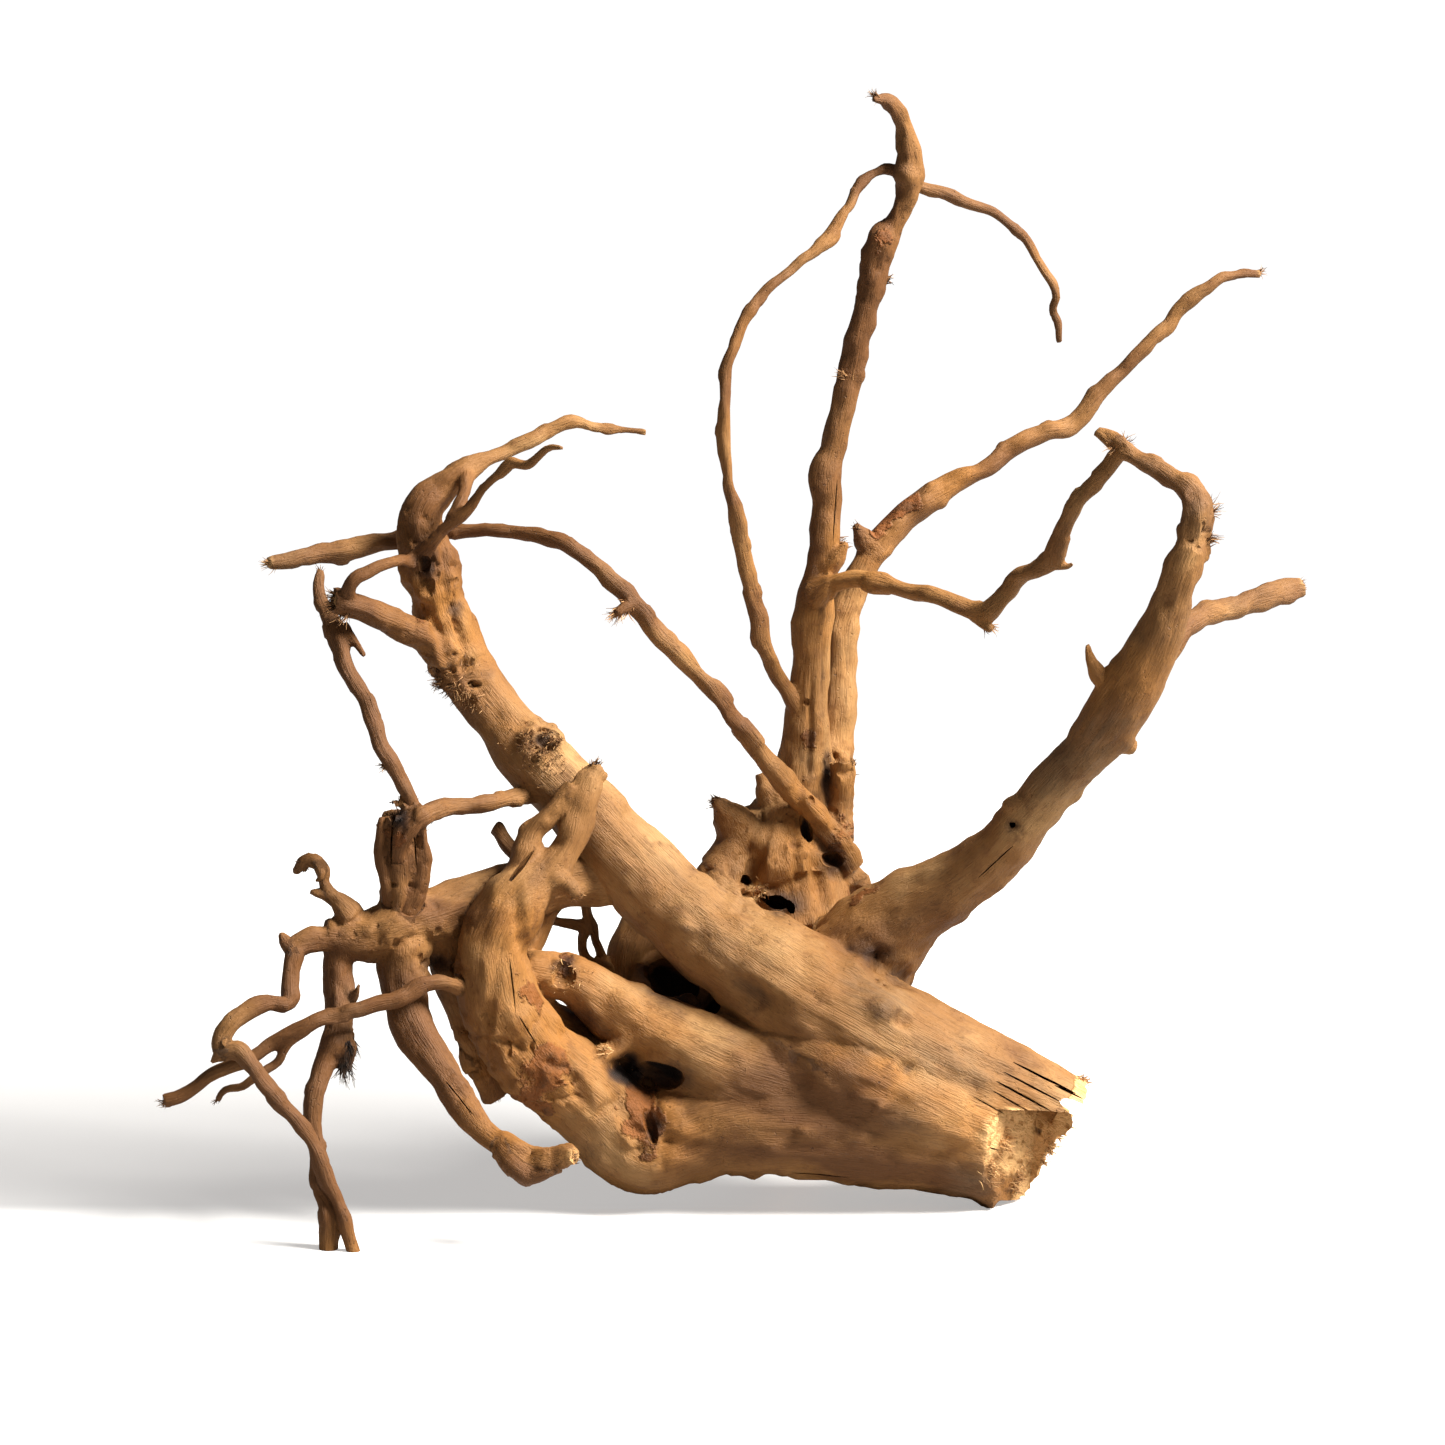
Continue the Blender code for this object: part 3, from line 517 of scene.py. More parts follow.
# %% Value noise
def noise(spots, seed=0):
    """A smooth random number from -1 to 1 for each spot, about one swing per unit."""
    cell = np.floor(spots).astype(np.int64)
    part = spots - cell
    part = part * part * (3 - 2 * part)
    total = np.zeros(len(spots))
    for corner in range(8):
        step = np.array([corner & 1, corner >> 1 & 1, corner >> 2])
        x, y, z = (cell + step).T
        mixed = (x * 73856093) ^ (y * 19349663) ^ (z * 83492791) ^ (seed * 40503)
        mixed = (mixed ^ (mixed >> 13)) * 1274126177 & 0xFFFFFFF
        mixed = (mixed ^ (mixed >> 11)) * 69069 & 0xFFFFFFF
        weight = np.where(step == 1, part, 1 - part).prod(1)
        total += weight * (mixed / 0x7FFFFFF - 1)
    return total


print("noise at three spots:", noise(np.array([[0.2, 0.5, 0.1], [4.3, 1.1, 0.9], [7.5, 7.5, 7.5]])))


# %% Flutes, grooves and ripples along the grain
def weather_height(grain, thick):
    """How far the surface stands out, in mm, for roots of this thickness."""
    stout = np.clip(thick / 22, 0.12, 1)
    slim = blend(11, 5, thick)
    flutes = noise(grain / (9, 9, 60), 1) * (0.45 + 0.5 * slim) * stout
    strands = noise(grain / (3.0, 3.0, 30), 2) * (0.16 + 0.3 * slim) * stout**0.7
    grooves = np.exp(-((noise(grain / (5, 5, 44), 3) / 0.08) ** 2)) * -(0.22 + 0.7 * slim) * stout**0.8
    knuckles = noise(grain / (30, 30, 11), 4) * 0.09 * np.minimum(thick, 8)
    knobs = noise(grain / (5, 5, 7), 9) * 0.17 * np.minimum(thick, 6)
    nodes = blend(0.25, 0.75, noise(grain / (6, 6, 7), 12)) * 0.24 * np.minimum(thick, 6)
    return flutes + strands + grooves + knuckles + knobs + nodes * blend(7, 3.5, thick)


# %% [markdown]
# Some forms are seen one by one in the photograph, so they are listed one by one: where on
# the sheet, how wide and high, how tilted, and how strong. `marked` paints such a list as
# soft ovals, with edges that wander.


# %% Ovals on the sheet
def marked(spots, sheet, toward_eye=None, wander=0.0, seed=5, edge=1.6):
    """The strongest of the ovals at each point: (across, down, wide, high, tilt, strength)."""
    mark = np.zeros(len(sheet))
    shift = np.zeros((len(sheet), 2))
    if wander:
        shift[:, 0] = noise(sheet / 5, seed) + 0.5 * noise(sheet / 2.2, seed + 1)
        shift[:, 1] = noise(sheet / 5, seed + 2) + 0.5 * noise(sheet / 2.2, seed + 3)
    for across, down, wide, high, tilt, strength in spots:
        dx, dy = (sheet[:, :2] + wander * shift - (across, down)).T
        c, s = math.cos(math.radians(tilt)), math.sin(math.radians(tilt))
        far = ((dx * c + dy * s) / wide) ** 2 + ((dy * c - dx * s) / high) ** 2
        mark = np.maximum(mark, strength * np.exp(-(far**edge)))
    if toward_eye is not None:
        mark *= blend(-0.1, 0.25, toward_eye)
    return mark


# %% Lumps and dents that the photograph shows
LUMPS = [
    (354, 404, 6, 4.5, 25, 4.2), (352, 443, 2.4, 2.0, 0, 1.9), (322, 452, 3.0, 2.0, 0, 1.5),
    (343, 385, 9, 4, -30, 1.4), (250, 401, 6, 4, 20, 1.8), (272, 372, 5, 4, 0, 1.6),
    (216, 297, 8.5, 7.5, 30, 3.4), (326, 187, 5, 8, 0, 1.6), (352, 96, 4.5, 8, 0, 1.8),
    (362, 70, 4, 5, 0, 1.6), (452, 298, 4, 3, 0, 1.4), (404, 321, 4, 3.4, 0, 1.8),
    (179, 262, 6, 8, 10, 2.4), (168, 205, 6, 8, 20, 1.4), (171, 240, 6, 5, 0, 1.8),
    (230, 357, 4, 3.6, 0, 2.2), (157, 371, 9, 6, 0, 1.6), (205, 432, 12, 5, 60, 1.8),
    (300, 330, 5, 14, -30, 1.8), (307, 352, 6, 12, 15, 1.8), (188, 448, 6, 5, 40, 1.6),
    (268, 446, 5, 9, -20, 2.0), (254, 466, 8, 5, 30, 1.4), (375, 452, 14, 8, 20, 1.2),
]
DENTS = [
    (362, 428, 4, 3.2, 0, 1.8), (302, 398, 14, 5, 34, 4.0), (230, 300, 3.5, 9, -38, 1.4),
    (405, 330, 2.6, 2.2, 0, 1.6), (169, 225, 6, 7, 0, 1.6), (180, 243, 3, 4, 0, 1.6),
    (290, 352, 5, 12, 20, 1.8), (313, 336, 3, 12, 10, 1.8), (324, 292, 1.4, 18, 2, 2.2),
    (331, 258, 1.6, 22, 4, 2.6), (245, 442, 10, 2.4, -35, 2.0), (285, 436, 20, 2.0, 10, 1.0),
    (209, 375, 3, 18, -8, 1.8), (196, 404, 2.4, 18, 8, 1.6), (222, 411, 8, 2.2, 40, 1.6),
    (216, 297, 3.6, 3.0, 30, 3.6), (360, 408, 4, 3, 30, 1.6), (232, 436, 3, 12, -30, 1.6),
    (358, 388, 12, 5, 40, 2.0), (280, 460, 18, 4, 10, 1.4), (202, 417.5, 8, 1.5, 22, 2.4),
    (250, 446, 3, 12, -25, 1.8), (252, 424, 9, 3, -30, 1.6), (318, 341, 2.4, 12, -6, 1.6),
    (303, 345, 2.6, 14, 18, 1.8), (327, 352, 2.6, 9, -12, 1.8), (320, 318, 2, 14, 4, 1.2),
    (176, 256, 2.4, 14, -20, 2.0), (183, 252, 1.6, 12, -14, 1.6), (178, 230, 2, 16, 0, 1.4),
]
WRINKLED = [
    (280, 445, 18, 12, 20, 1.0), (380, 446, 28, 12, 20, 0.8), (262, 462, 14, 6, 10, 0.8),
    (226, 438, 12, 10, 40, 0.9), (205, 428, 8, 12, 0, 0.8), (355, 366, 14, 8, -40, 0.6),
]
GNARLED = [
    (172, 232, 17, 36, 8, 1.1), (312, 340, 26, 36, 0, 0.65), (157, 372, 32, 14, 0, 0.9),
    (161, 340, 12, 30, 0, 1.4), (350, 80, 18, 44, 5, 0.8), (212, 426, 14, 26, -25, 1.2),
    (216, 297, 11, 10, 0, 2.0), (181, 270, 14, 9, 30, 2.6), (126, 352, 12, 14, 0, 1.5),
    (480, 208, 10, 18, 0, 1.5), (448, 178, 9, 7, 0, 1.3), (226, 388, 8, 8, 0, 1.4),
    (244, 421, 6, 5, 0, 1.6), (138, 415, 7, 22, 0, 1.4), (218, 465, 16, 8, 0, 2.0),
    (302, 356, 7, 5, 20, 2.4), (175, 386, 10, 6, 0, 2.0), (337, 306, 7, 9, 0, 2.2),
    (288, 324, 6, 8, 0, 2.0), (179, 387, 8, 5, 0, 2.4), (170, 268, 10, 8, 0, 2.2),
    (262, 452, 12, 14, 0, 0.8), (352, 386, 12, 7, 30, 1.2), (336, 325, 6, 26, 0, 1.3),
    (224, 436, 10, 12, 0, 1.0), (190, 425, 12, 22, 0, 1.0),
]
print(len(LUMPS), "lumps and", len(DENTS), "dents")


# %% Kinks of the slim roots
def kinks(spots, thick):
    """How far aside each spot of a slim root is bent, in mm."""
    bends = [noise(spots / 14, seed) + 0.45 * noise(spots / 6.5, seed + 3) for seed in (81, 82, 83)]
    slim = blend(9, 4, thick) * blend(2, 12, spots[:, 2])
    return 1.35 * slim[:, None] * np.stack(bends, axis=1)


# %% Move the surface
def of_both(first_row, second_row, second):
    """What the two rows give, blended by the second one's share."""
    return first_row * (1 - second) + second_row * second


sheet = on_sheet(points)
toward_eye = -(facing @ AHEAD)
thick = of_nearer(grains, 2)
stout = np.clip(thick / 20, 0.1, 1)
height = of_both(*(weather_height(grain, radius) for grain, gap, radius in grains), second)
height += (noise(points / 26, 6) * 1.5 + noise(points / 12, 10) * 0.55) * stout
rugged = noise(points / 5.5, 7) * 1.2 + noise(points / 2.6, 8) * 0.6
rugged -= 1.3 * blend(0.35, 0.6, noise(points / 3.2, 11))
height += marked(GNARLED, sheet) * rugged * np.clip(stout * 2, 0.3, 1)
wrinkles = of_both(*(noise(grain / (1.9, 1.9, 15), 13) for grain, gap, radius in grains), second)
height += 0.45 * marked(WRINKLED, sheet, toward_eye) * wrinkles
height += marked(LUMPS, sheet, toward_eye, 0.4) - marked(DENTS, sheet, toward_eye, 0.4)
set_points(wood, points + facing * height[:, None] + kinks(points, thick))
print(f"the surface moved by {height.min():.1f} to {height.max():.1f} mm")

# %% [markdown]
# ## Fewer faces
# The remesh makes faces of one size everywhere. Decimate takes them away where the wood is
# even and keeps them in grooves and on spurs, which leaves room for the cuts that follow.

# %% Thin the mesh
KEPT_TRIANGLES = 158_000
apply_modifier(wood, "TRIANGULATE")
apply_modifier(wood, "DECIMATE", ratio=KEPT_TRIANGLES / len(wood.data.polygons))

# %% [markdown]
# ## Hollows, splits and the torn end
# A Boolean takes these out. Each hollow is an egg whose surface wanders, each split is an egg
# pressed nearly flat, and the torn ends are left by blocks whose faces are as ragged as the
# break. Cutting after thinning keeps narrow splits sharp.


# %% Cutters
TEAR_REACH = 8


def rough_egg(name, middle, halves, tilt=0.0, rough=0.12, seed=20):
    """An egg at a place on the sheet. Tilt turns it clockwise, as seen from the eye."""
    x, y, z, scale = place(*middle)
    bpy.ops.mesh.primitive_ico_sphere_add(subdivisions=4, radius=1, location=(0, 0, 0))
    egg = bpy.context.object
    egg.name = name
    count = len(egg.data.vertices)
    ball = np.empty(count * 3, np.float32)
    egg.data.vertices.foreach_get("co", ball)
    ball = ball.reshape(-1, 3).astype(float)
    swell = noise(ball * 1.7 + seed, seed) + 0.5 * noise(ball * 4 + seed, seed + 1)
    ball *= 1 + rough * swell[:, None]
    wide, deep, high = (ball * (halves[0], halves[2], halves[1])).T
    turn = math.radians(tilt)
    across = wide * math.cos(turn) + high * math.sin(turn)
    up = high * math.cos(turn) - wide * math.sin(turn)
    set_points(egg, (x, y, z) + scale * np.stack([across, up, deep], axis=1) @ (RIGHT, UP, AHEAD))
    return egg


def ragged_block(name, middle, facing_way, sides, deep, seed, cuts):
    """A block whose near face is torn: spikes along the grain, as where wood is pulled apart."""
    bpy.ops.mesh.primitive_cube_add(size=1, location=(0, 0, 0))
    block = bpy.context.object
    block.name = name
    bpy.ops.object.mode_set(mode="EDIT")
    bpy.ops.mesh.subdivide(number_cuts=cuts)
    bpy.ops.object.mode_set(mode="OBJECT")
    count = len(block.data.vertices)
    shape = np.empty(count * 3, np.float32)
    block.data.vertices.foreach_get("co", shape)
    shape = shape.reshape(-1, 3).astype(float) * sides
    near_face = -sides[0] / 2
    near = blend(near_face + TEAR_REACH, near_face, shape[:, 0])
    spots = shape[:, [1, 2, 0]]
    spikes = noise(spots / (2.2, 2.0, 9), seed) + 0.6 * noise(spots / (1.1, 5.0, 9), seed + 1)
    steps = noise(spots / (9, 7, 50), seed + 2)
    shape[:, 0] += near * deep * (0.55 * spikes + 0.9 * steps)
    ahead = Vector(facing_way).normalized()
    turn = np.array(ahead.to_track_quat("X", "Z").to_matrix())
    at = place(*middle)[:3] + np.array(ahead) * sides[0] / 2
    set_points(block, shape @ turn.T + at)
    return block


# %% What is cut away: hollows and splits, with their middle, half sizes and tilt
HOLLOWS = {
    "eye": [(261.5, 430.8, -24), (12.6, 6.0, 19), 9],
    "eye_left": [(252.6, 428.6, -22), (5.6, 4.8, 15), 25],
    "slot": [(260, 450, -29), (2.8, 8.5, 7), -14],
    "burl_mouth": [(311, 361, 30), (5.2, 3.0, 12), 10],
    "burl_lip": [(316.4, 363, 30), (2.2, 4.0, 9), -20],
    "burl_fold": [(305.6, 359, 31), (2.4, 1.6, 8), 35],
    "burl_ear": [(333.5, 344, 33), (5, 3.6, 11), 20],
    "crown_eye": [(169.5, 225.5, 3), (3.2, 4.6, 6), 0],
    "post_lip": [(156.4, 324.4, -34), (2.2, 4.4, 5), -12],
    "post_dent": [(164.6, 325, -27), (2.4, 3.4, 4), 15],
    "finger_scar": [(226, 390, -20), (5.2, 6.2, 4.0), 20],
    "burl_nick": [(298, 352, 36), (3.0, 2.0, 7), 30],
    "burl_notch": [(305, 326, 38), (1.6, 3.4, 6), -20],
    "bowl": [(269, 392.5, 20), (13, 9.4, 14), 38],
    "leaf": [(322.5, 332, 39), (2.7, 7, 5), -8],
    "root_knot": [(325, 319.6, 34), (1.9, 1.7, 3.2), 0],
    "horn_pit": [(405, 330, -9), (2.2, 1.8, 4), 0],
    "stub_groove": [(331.5, 312, 45), (1.6, 11, 5), 2],
    "upright_pit": [(322.6, 281, 52), (1.4, 1.8, 2.2), 0],
    "knot_core": [(217, 297.5, -5), (3.4, 3.0, 3.4), 20],
    "hook_groove": [(209, 346, -28), (1.1, 11, 5), 38],
    "end_notch": [(430, 442.5, 0), (9, 3.2, 40), 22],
}
SPLITS = {
    "long": [(418, 431.3, -14), (15.5, 0.5, 8), 27],
    "upper": [(413, 434.8, -18), (14.5, 0.42, 7), 28],
    "middle": [(409, 438.2, -21), (14, 0.46, 7), 29],
    "lower": [(407, 442, -23), (12, 0.38, 6), 30],
    "lowest": [(397, 443, -26), (9, 0.3, 6), 30],
    "short": [(427, 436.5, -12), (7, 0.4, 6), 26],
    "post_left": [(156.6, 338, -36), (0.5, 11, 4), 3],
    "post_right": [(166, 340, -36), (0.45, 9, 4), -4],
    "leg_back": [(180, 435, -61), (0.4, 14, 4), -40],
    "torn": [(401, 461, -24), (7, 0.35, 5), 22],
    "limb": [(193, 262, 4), (0.35, 12, 6), -22],
    "horn": [(398, 345, -10), (0.30, 13, 6), 46],
    "upright": [(334, 205, 56), (0.30, 14, 5), 4],
    "hook": [(205, 395, -44), (0.40, 13, 6), -6],
    "hook_low": [(212, 414, -43), (0.35, 9, 6), -30],
    "trunk_under": [(330, 470, -20), (14, 0.28, 5), 4],
}
print(len(HOLLOWS), "hollows and", len(SPLITS), "splits")

# %% Torn ends: middle, the way out, sides, depth of the tear, seed, cuts of the face
TORN_MIDDLE, TORN_WAY = (423, 454, 0), (0.894, 0, -0.447)
TORN_ENDS = {
    "torn_across": [TORN_MIDDLE, TORN_WAY, (70, 120, 150), 2.6, 71, 63],
    "torn_slanting": [(394, 466, -26), (0.78, -0.6, -0.14), (60, 70, 46), 1.2, 74, 63],
    "stub_top": [(337.5, 304, 49), (0, 0, 1), (9, 12, 12), 2.0, 75, 20],
    "twig_end": [(519.6, 235, 20), (0.79, 0.57, 0.23), (9, 14, 14), 1.8, 76, 20],
    "foot_end": [(229.6, 463, -76.5), (0.9, -0.4, 0.1), (9, 18, 18), 1.8, 77, 24],
    "crown_stub_end": [(133, 240.5, -13), (-0.95, -0.25, 0.15), (9, 13, 13), 2.0, 78, 20],
}
print(len(TORN_ENDS), "torn ends")

# %% Cut it all away at once
cutters = bpy.data.collections.new("cutters")
bpy.context.scene.collection.children.link(cutters)
tools = [rough_egg(name, *how, seed=20 + i) for i, (name, how) in enumerate(HOLLOWS.items())]
tools += [
    rough_egg("split_" + name, *how, rough=0.05, seed=50 + i) for i, (name, how) in enumerate(SPLITS.items())
]
tools += [ragged_block(name, *how) for name, how in TORN_ENDS.items()]
for tool in tools:
    for home in list(tool.users_collection):
        home.objects.unlink(tool)
    cutters.objects.link(tool)
cut = {"operation": "DIFFERENCE", "solver": "MANIFOLD"}
apply_modifier(wood, "BOOLEAN", operand_type="COLLECTION", collection=cutters, **cut)
for tool in tools:
    bpy.data.objects.remove(tool)

# %% Level the feet, and drop what a cut left loose
bpy.ops.mesh.primitive_cube_add(size=0.8, location=(0, 0, -0.4))
ground = bpy.context.object
apply_modifier(wood, "BOOLEAN", object=ground, **cut)
bpy.data.objects.remove(ground)
select_only(wood)
bpy.ops.object.mode_set(mode="EDIT")
bpy.ops.mesh.select_all(action="DESELECT")
bpy.ops.object.mode_set(mode="OBJECT")
tallest = max(range(len(wood.data.vertices)), key=lambda i: wood.data.vertices[i].co.z)
wood.data.vertices[tallest].select = True
bpy.ops.object.mode_set(mode="EDIT")
bpy.ops.mesh.select_linked()
bpy.ops.mesh.select_all(action="INVERT")
bpy.ops.mesh.delete(type="VERT")
bpy.ops.object.mode_set(mode="OBJECT")
apply_modifier(wood, "TRIANGULATE")
select_only(wood)
bpy.ops.object.shade_smooth_by_angle(angle=math.radians(52))
print("the wood has", len(wood.data.polygons), "triangles")

# %% [markdown]
# ## Painting the marks
# The shader needs to know more than the shape: where the grain runs, where bark was left,
# where the wood is torn, where it carries stains, where its tone is warmer, where it is veiled
# grey, and where shade and highlights are painted on it, also deep in hollows. Each is a number
# on every point of the mesh, kept as an attribute, which the export can bake. The grain is
# kept for both rows of roots, with the share of the second one. It is read where each point
# was before the kinks, because lines drawn straight on a root bend with it. The ovals below
# are given as across, down, wide, high, tilt and strength.

# %% What is marked where
STAINS = [
    (266, 431, 16, 8, 8, 0.75), (251, 428.5, 7, 6, 0, 1.5), (261, 451, 5, 9, -12, 0.8),
    (259, 455, 8, 11, 0, 0.4),
    (303, 397, 15, 5, 34, 0.55), (352, 382, 16, 7, 25, 0.62), (360, 390, 7, 6, 30, 0.6),
    (354, 405, 8, 5, 28, 0.5), (362, 428, 4, 3, 0, 0.5), (315, 361, 11, 7, 10, 0.8),
    (334, 345, 10, 7, 20, 0.7), (330, 335, 10, 6, 30, 0.45), (226, 387, 7, 7, 0, 0.7),
    (235, 408, 18, 6, 35, 0.7), (170, 226, 7, 9, 0, 0.6), (182, 243, 4, 4, 0, 0.6),
    (217, 297, 7, 6, 0, 0.75), (176, 386, 9, 5, 0, 0.7), (161, 328, 5, 7, 0, 0.75),
    (325, 320, 4, 4, 0, 0.55),
    (405, 330, 4, 4, 0, 0.55), (404, 321, 5, 3.6, 0, 0.4), (331, 312, 3, 16, 2, 0.7),
    (323, 302, 3.6, 14, -6, 0.5), (395, 483, 12, 3, 12, 0.5), (262, 476, 26, 5, 0, 0.3),
    (340, 262, 3, 12, 0, 0.45), (329, 268, 2, 26, 0, 0.5), (268, 395, 13, 10, 35, 0.9),
    (138, 427, 5, 9, 0, 0.8), (424, 316, 4, 14, 40, 0.25), (480, 205, 6, 12, 0, 0.35),
    (448, 179, 8, 6, 20, 0.3), (186, 272, 9, 7, 0, 0.4), (280, 373, 12, 5, 30, 0.35),
    (292, 401, 20, 4, 35, 0.35), (250, 440, 6, 14, -20, 0.35), (215, 350, 6, 14, 38, 0.45),
]
BARK = [
    (218, 427, 11, 13, -10, 0.8), (213, 398, 7, 9, -20, 0.6), (214, 440, 10, 8, 0, 0.7),
    (358, 203, 13, 6, -25, 0.85), (352, 210, 8, 6, 0, 0.7), (338, 335, 7, 14, 10, 0.45),
    (160, 335, 8, 8, 0, 0.5), (200, 360, 5, 12, 10, 0.35), (322, 300, 4, 20, 0, 0.4),
    (345, 358, 9, 5, -15, 0.6), (226, 386, 6, 6, 0, 0.5), (257, 446, 9, 14, -10, 0.85),
    (352, 98, 5, 12, 0, 0.45), (170, 247, 7, 7, 0, 0.4), (262, 463, 12, 6, 0, 0.4),
]
print(len(STAINS), "stains and", len(BARK), "patches of bark")

# %% Where the wood's tone changes, and where shade and highlights are painted
WARM = [
    (215, 410, 34, 50, 0, 0.9), (250, 400, 40, 22, 20, 0.5), (170, 420, 46, 70, 0, 0.5),
    (180, 240, 38, 70, 0, 0.6), (330, 330, 34, 60, 0, 0.5), (345, 428, 24, 9, 30, 0.7),
    (400, 455, 30, 22, 30, 0.8), (345, 230, 24, 50, 0, 0.6), (380, 195, 46, 24, -30, 0.5),
    (262, 452, 20, 18, 0, 0.6), (440, 290, 46, 70, -30, 0.35), (350, 100, 24, 60, 0, 0.4),
]
VEIL = [
    (350, 400, 18, 8, 28, 0.8), (380, 425, 30, 11, 28, 0.9), (398, 428, 18, 8, 28, 0.7),
    (345, 452, 34, 11, 12, 0.4), (320, 440, 26, 15, 10, 0.4), (290, 380, 34, 12, 35, 0.6),
    (270, 350, 26, 18, 40, 0.5), (430, 300, 18, 46, 42, 0.7), (330, 345, 18, 18, 0, 0.4),
    (300, 425, 22, 9, 20, 0.4), (392, 470, 16, 9, 20, 0.6), (240, 330, 16, 26, -35, 0.5),
]
# Painted highlights: where the wood is painted paler, as if the lamp lit it more.
LIT = [
    (339, 262, 10, 34, 3, 0.9), (420, 322, 22, 9, -45, 1.0), (392, 350, 16, 6, -40, 0.5),
    (255, 398, 26, 6, 25, 0.5), (266, 342, 26, 8, 38, 0.2), (216, 288, 14, 12, 0, 0.4),
    (404, 456, 18, 16, 20, 0.7),
    (388, 446, 26, 13, 25, 0.6), (476, 222, 7, 20, 10, 0.6), (300, 330, 8, 16, 0, 0.3),
    (220, 176, 20, 4, -20, 0.6), (262, 258, 16, 4, 48, 0.5), (205, 392, 8, 20, 0, 0.3),
]
# Painted shade: where the wood is painted darker, as if in shade.
SHADE = [
    (325, 440, 42, 20, 10, 0.8), (345, 466, 60, 9, 8, 0.85), (365, 368, 30, 12, -30, 0.8),
    (397, 343, 22, 13, -45, 0.45), (438, 292, 10, 36, 38, 0.55), (185, 366, 26, 9, 0, 0.85),
    (172, 235, 20, 34, 0, 0.45), (312, 345, 16, 18, 0, 0.35), (345, 120, 12, 70, 8, 0.6),
    (130, 430, 34, 70, 0, 0.7), (280, 392, 34, 7, 38, 0.6), (150, 270, 14, 40, -20, 0.6),
    (166, 410, 14, 34, -20, 0.7), (312, 352, 20, 14, 0, 0.5), (318, 410, 16, 10, 20, 0.5),
]
print(len(WARM) + len(VEIL) + len(LIT) + len(SHADE), "ovals of tone")

# %% Read the grain as if the kinks weren't there
points, facing = points_of(wood)
sheet = on_sheet(points)
toward_eye = -(facing @ AHEAD)
thick = of_nearer([grain_at(points, row) for row in (0, 1)], 2)
straight = points
for _ in range(4):
    straight = points - kinks(straight, thick)
grains = [grain_at(straight, row) for row in (0, 1)]
second = share_of_second(grains)
depth, thick = of_nearer(grains, 1), of_nearer(grains, 2)
forks = np.exp(-(((grains[0][1] - grains[1][1]) / 2.5) ** 2)) * blend(10, 3, np.abs(depth))
print(f"the kinks had moved the surface by up to {np.abs(points - straight).max():.1f} mm")

# %% Torn wood: the break, one patch on the burl, and the tips of some roots
TORN_PATCHES = [(407, 457, 15, 14, 22, 1.0), (303, 356, 4, 3.6, 20, 0.8)]
TORN_TIPS = (
    "upper_limb", "leg_back", "long_root", "broken_stub", "second_upright", "horn_twig", "crown_stub",
)
BREAK_HEIGHT = 95
every_root = FIRST_ROOTS | SECOND_ROOTS
face = blend(-9, -3, (points - place(*TORN_MIDDLE)[:3]) @ TORN_WAY) * (points[:, 2] < BREAK_HEIGHT)
tips = np.zeros(len(points))
for name in TORN_TIPS:
    x, y, z, radius = place(*every_root[name][-1])
    far = np.linalg.norm(points - (x, y, z), axis=1)
    tips = np.maximum(tips, blend(radius + 3.5, radius * 0.6, far))
torn = np.maximum(marked(TORN_PATCHES, sheet, toward_eye, 1.6, 12), blend(0.5, 0.9, face))
torn = np.maximum(torn, 0.45 * tips * (depth > -4))
print(f"{(torn > 0.5).mean():.1%} of the wood is torn")

# %% Stains, painted shade deep in hollows but not behind the break, and bark
BEHIND_THE_BREAK = [(398, 459, 19, 18, 22, 1.0), (418, 443, 15, 9, 24, 1.0)]
broken = np.maximum(face, marked(BEHIND_THE_BREAK, sheet))
# Painted shade: the deeper a point lies below its root's surface, the darker it is painted, except behind
# the break.
painted_hollow_shade = blend(-3.0, -6.5, depth) * (1 - blend(0.2, 0.6, broken))
stain_and_hollow_shade = marked(STAINS, sheet, toward_eye, 1.6, edge=1.0)
# Where two roots meet, the wood is a little darker, in patches.
stain_and_hollow_shade += 0.22 * forks * blend(-0.2, 0.5, noise(points / 9, 30))
stain_and_hollow_shade = np.clip(np.maximum(stain_and_hollow_shade, painted_hollow_shade), 0, 1)
hidden = blend(0.1, -0.3, toward_eye)
bark = marked(BARK, sheet, toward_eye, 2.4, 8, edge=1.0)
bark = np.maximum(bark, hidden * blend(0.30, 0.85, noise(points / 24, 31)))
print(f"{(stain_and_hollow_shade > 0.5).mean():.1%} of the wood is stained, {(bark > 0.5).mean():.1%} has bark")

# %% Tones, with painted shade and painted highlights
warm = np.clip(marked(WARM, sheet, None, 3.0, 16) + 0.15 + 0.5 * noise(points / 32, 32), 0, 1)
veil = marked(VEIL, sheet, None, 2.0, 18, 1.0) + 0.5 * blend(0.1, 0.7, noise(points / 22, 33))
# The third number is painted shade from the SHADE ovals, plus a darker tone on slim roots and at random,
# less painted highlights from the LIT ovals, which take it below nought.
shade = marked(SHADE, sheet, None, 3.0, 22, 1.0) + 0.45 * blend(12, 4, thick)
shade += 0.5 * noise(points / 22, 34) - 1.2 * marked(LIT, sheet, toward_eye, 2.0, 26, 1.0)
tones = np.stack([warm, np.clip(veil, 0, 1), np.clip(shade, -1, 1)], axis=1)
print("warm, veil and shade are on average", tones.mean(0).round(2))


# %% Keep them on the mesh
def keep_attribute(piece, name, values):
    kind, field = ("FLOAT_VECTOR", "vector") if values.ndim == 2 else ("FLOAT", "value")
    layer = piece.data.attributes.new(name, kind, "POINT")
    layer.data.foreach_set(field, np.ascontiguousarray(values, np.float32).ravel())
    print(f"{name}: from {values.min():.2f} to {values.max():.2f}")


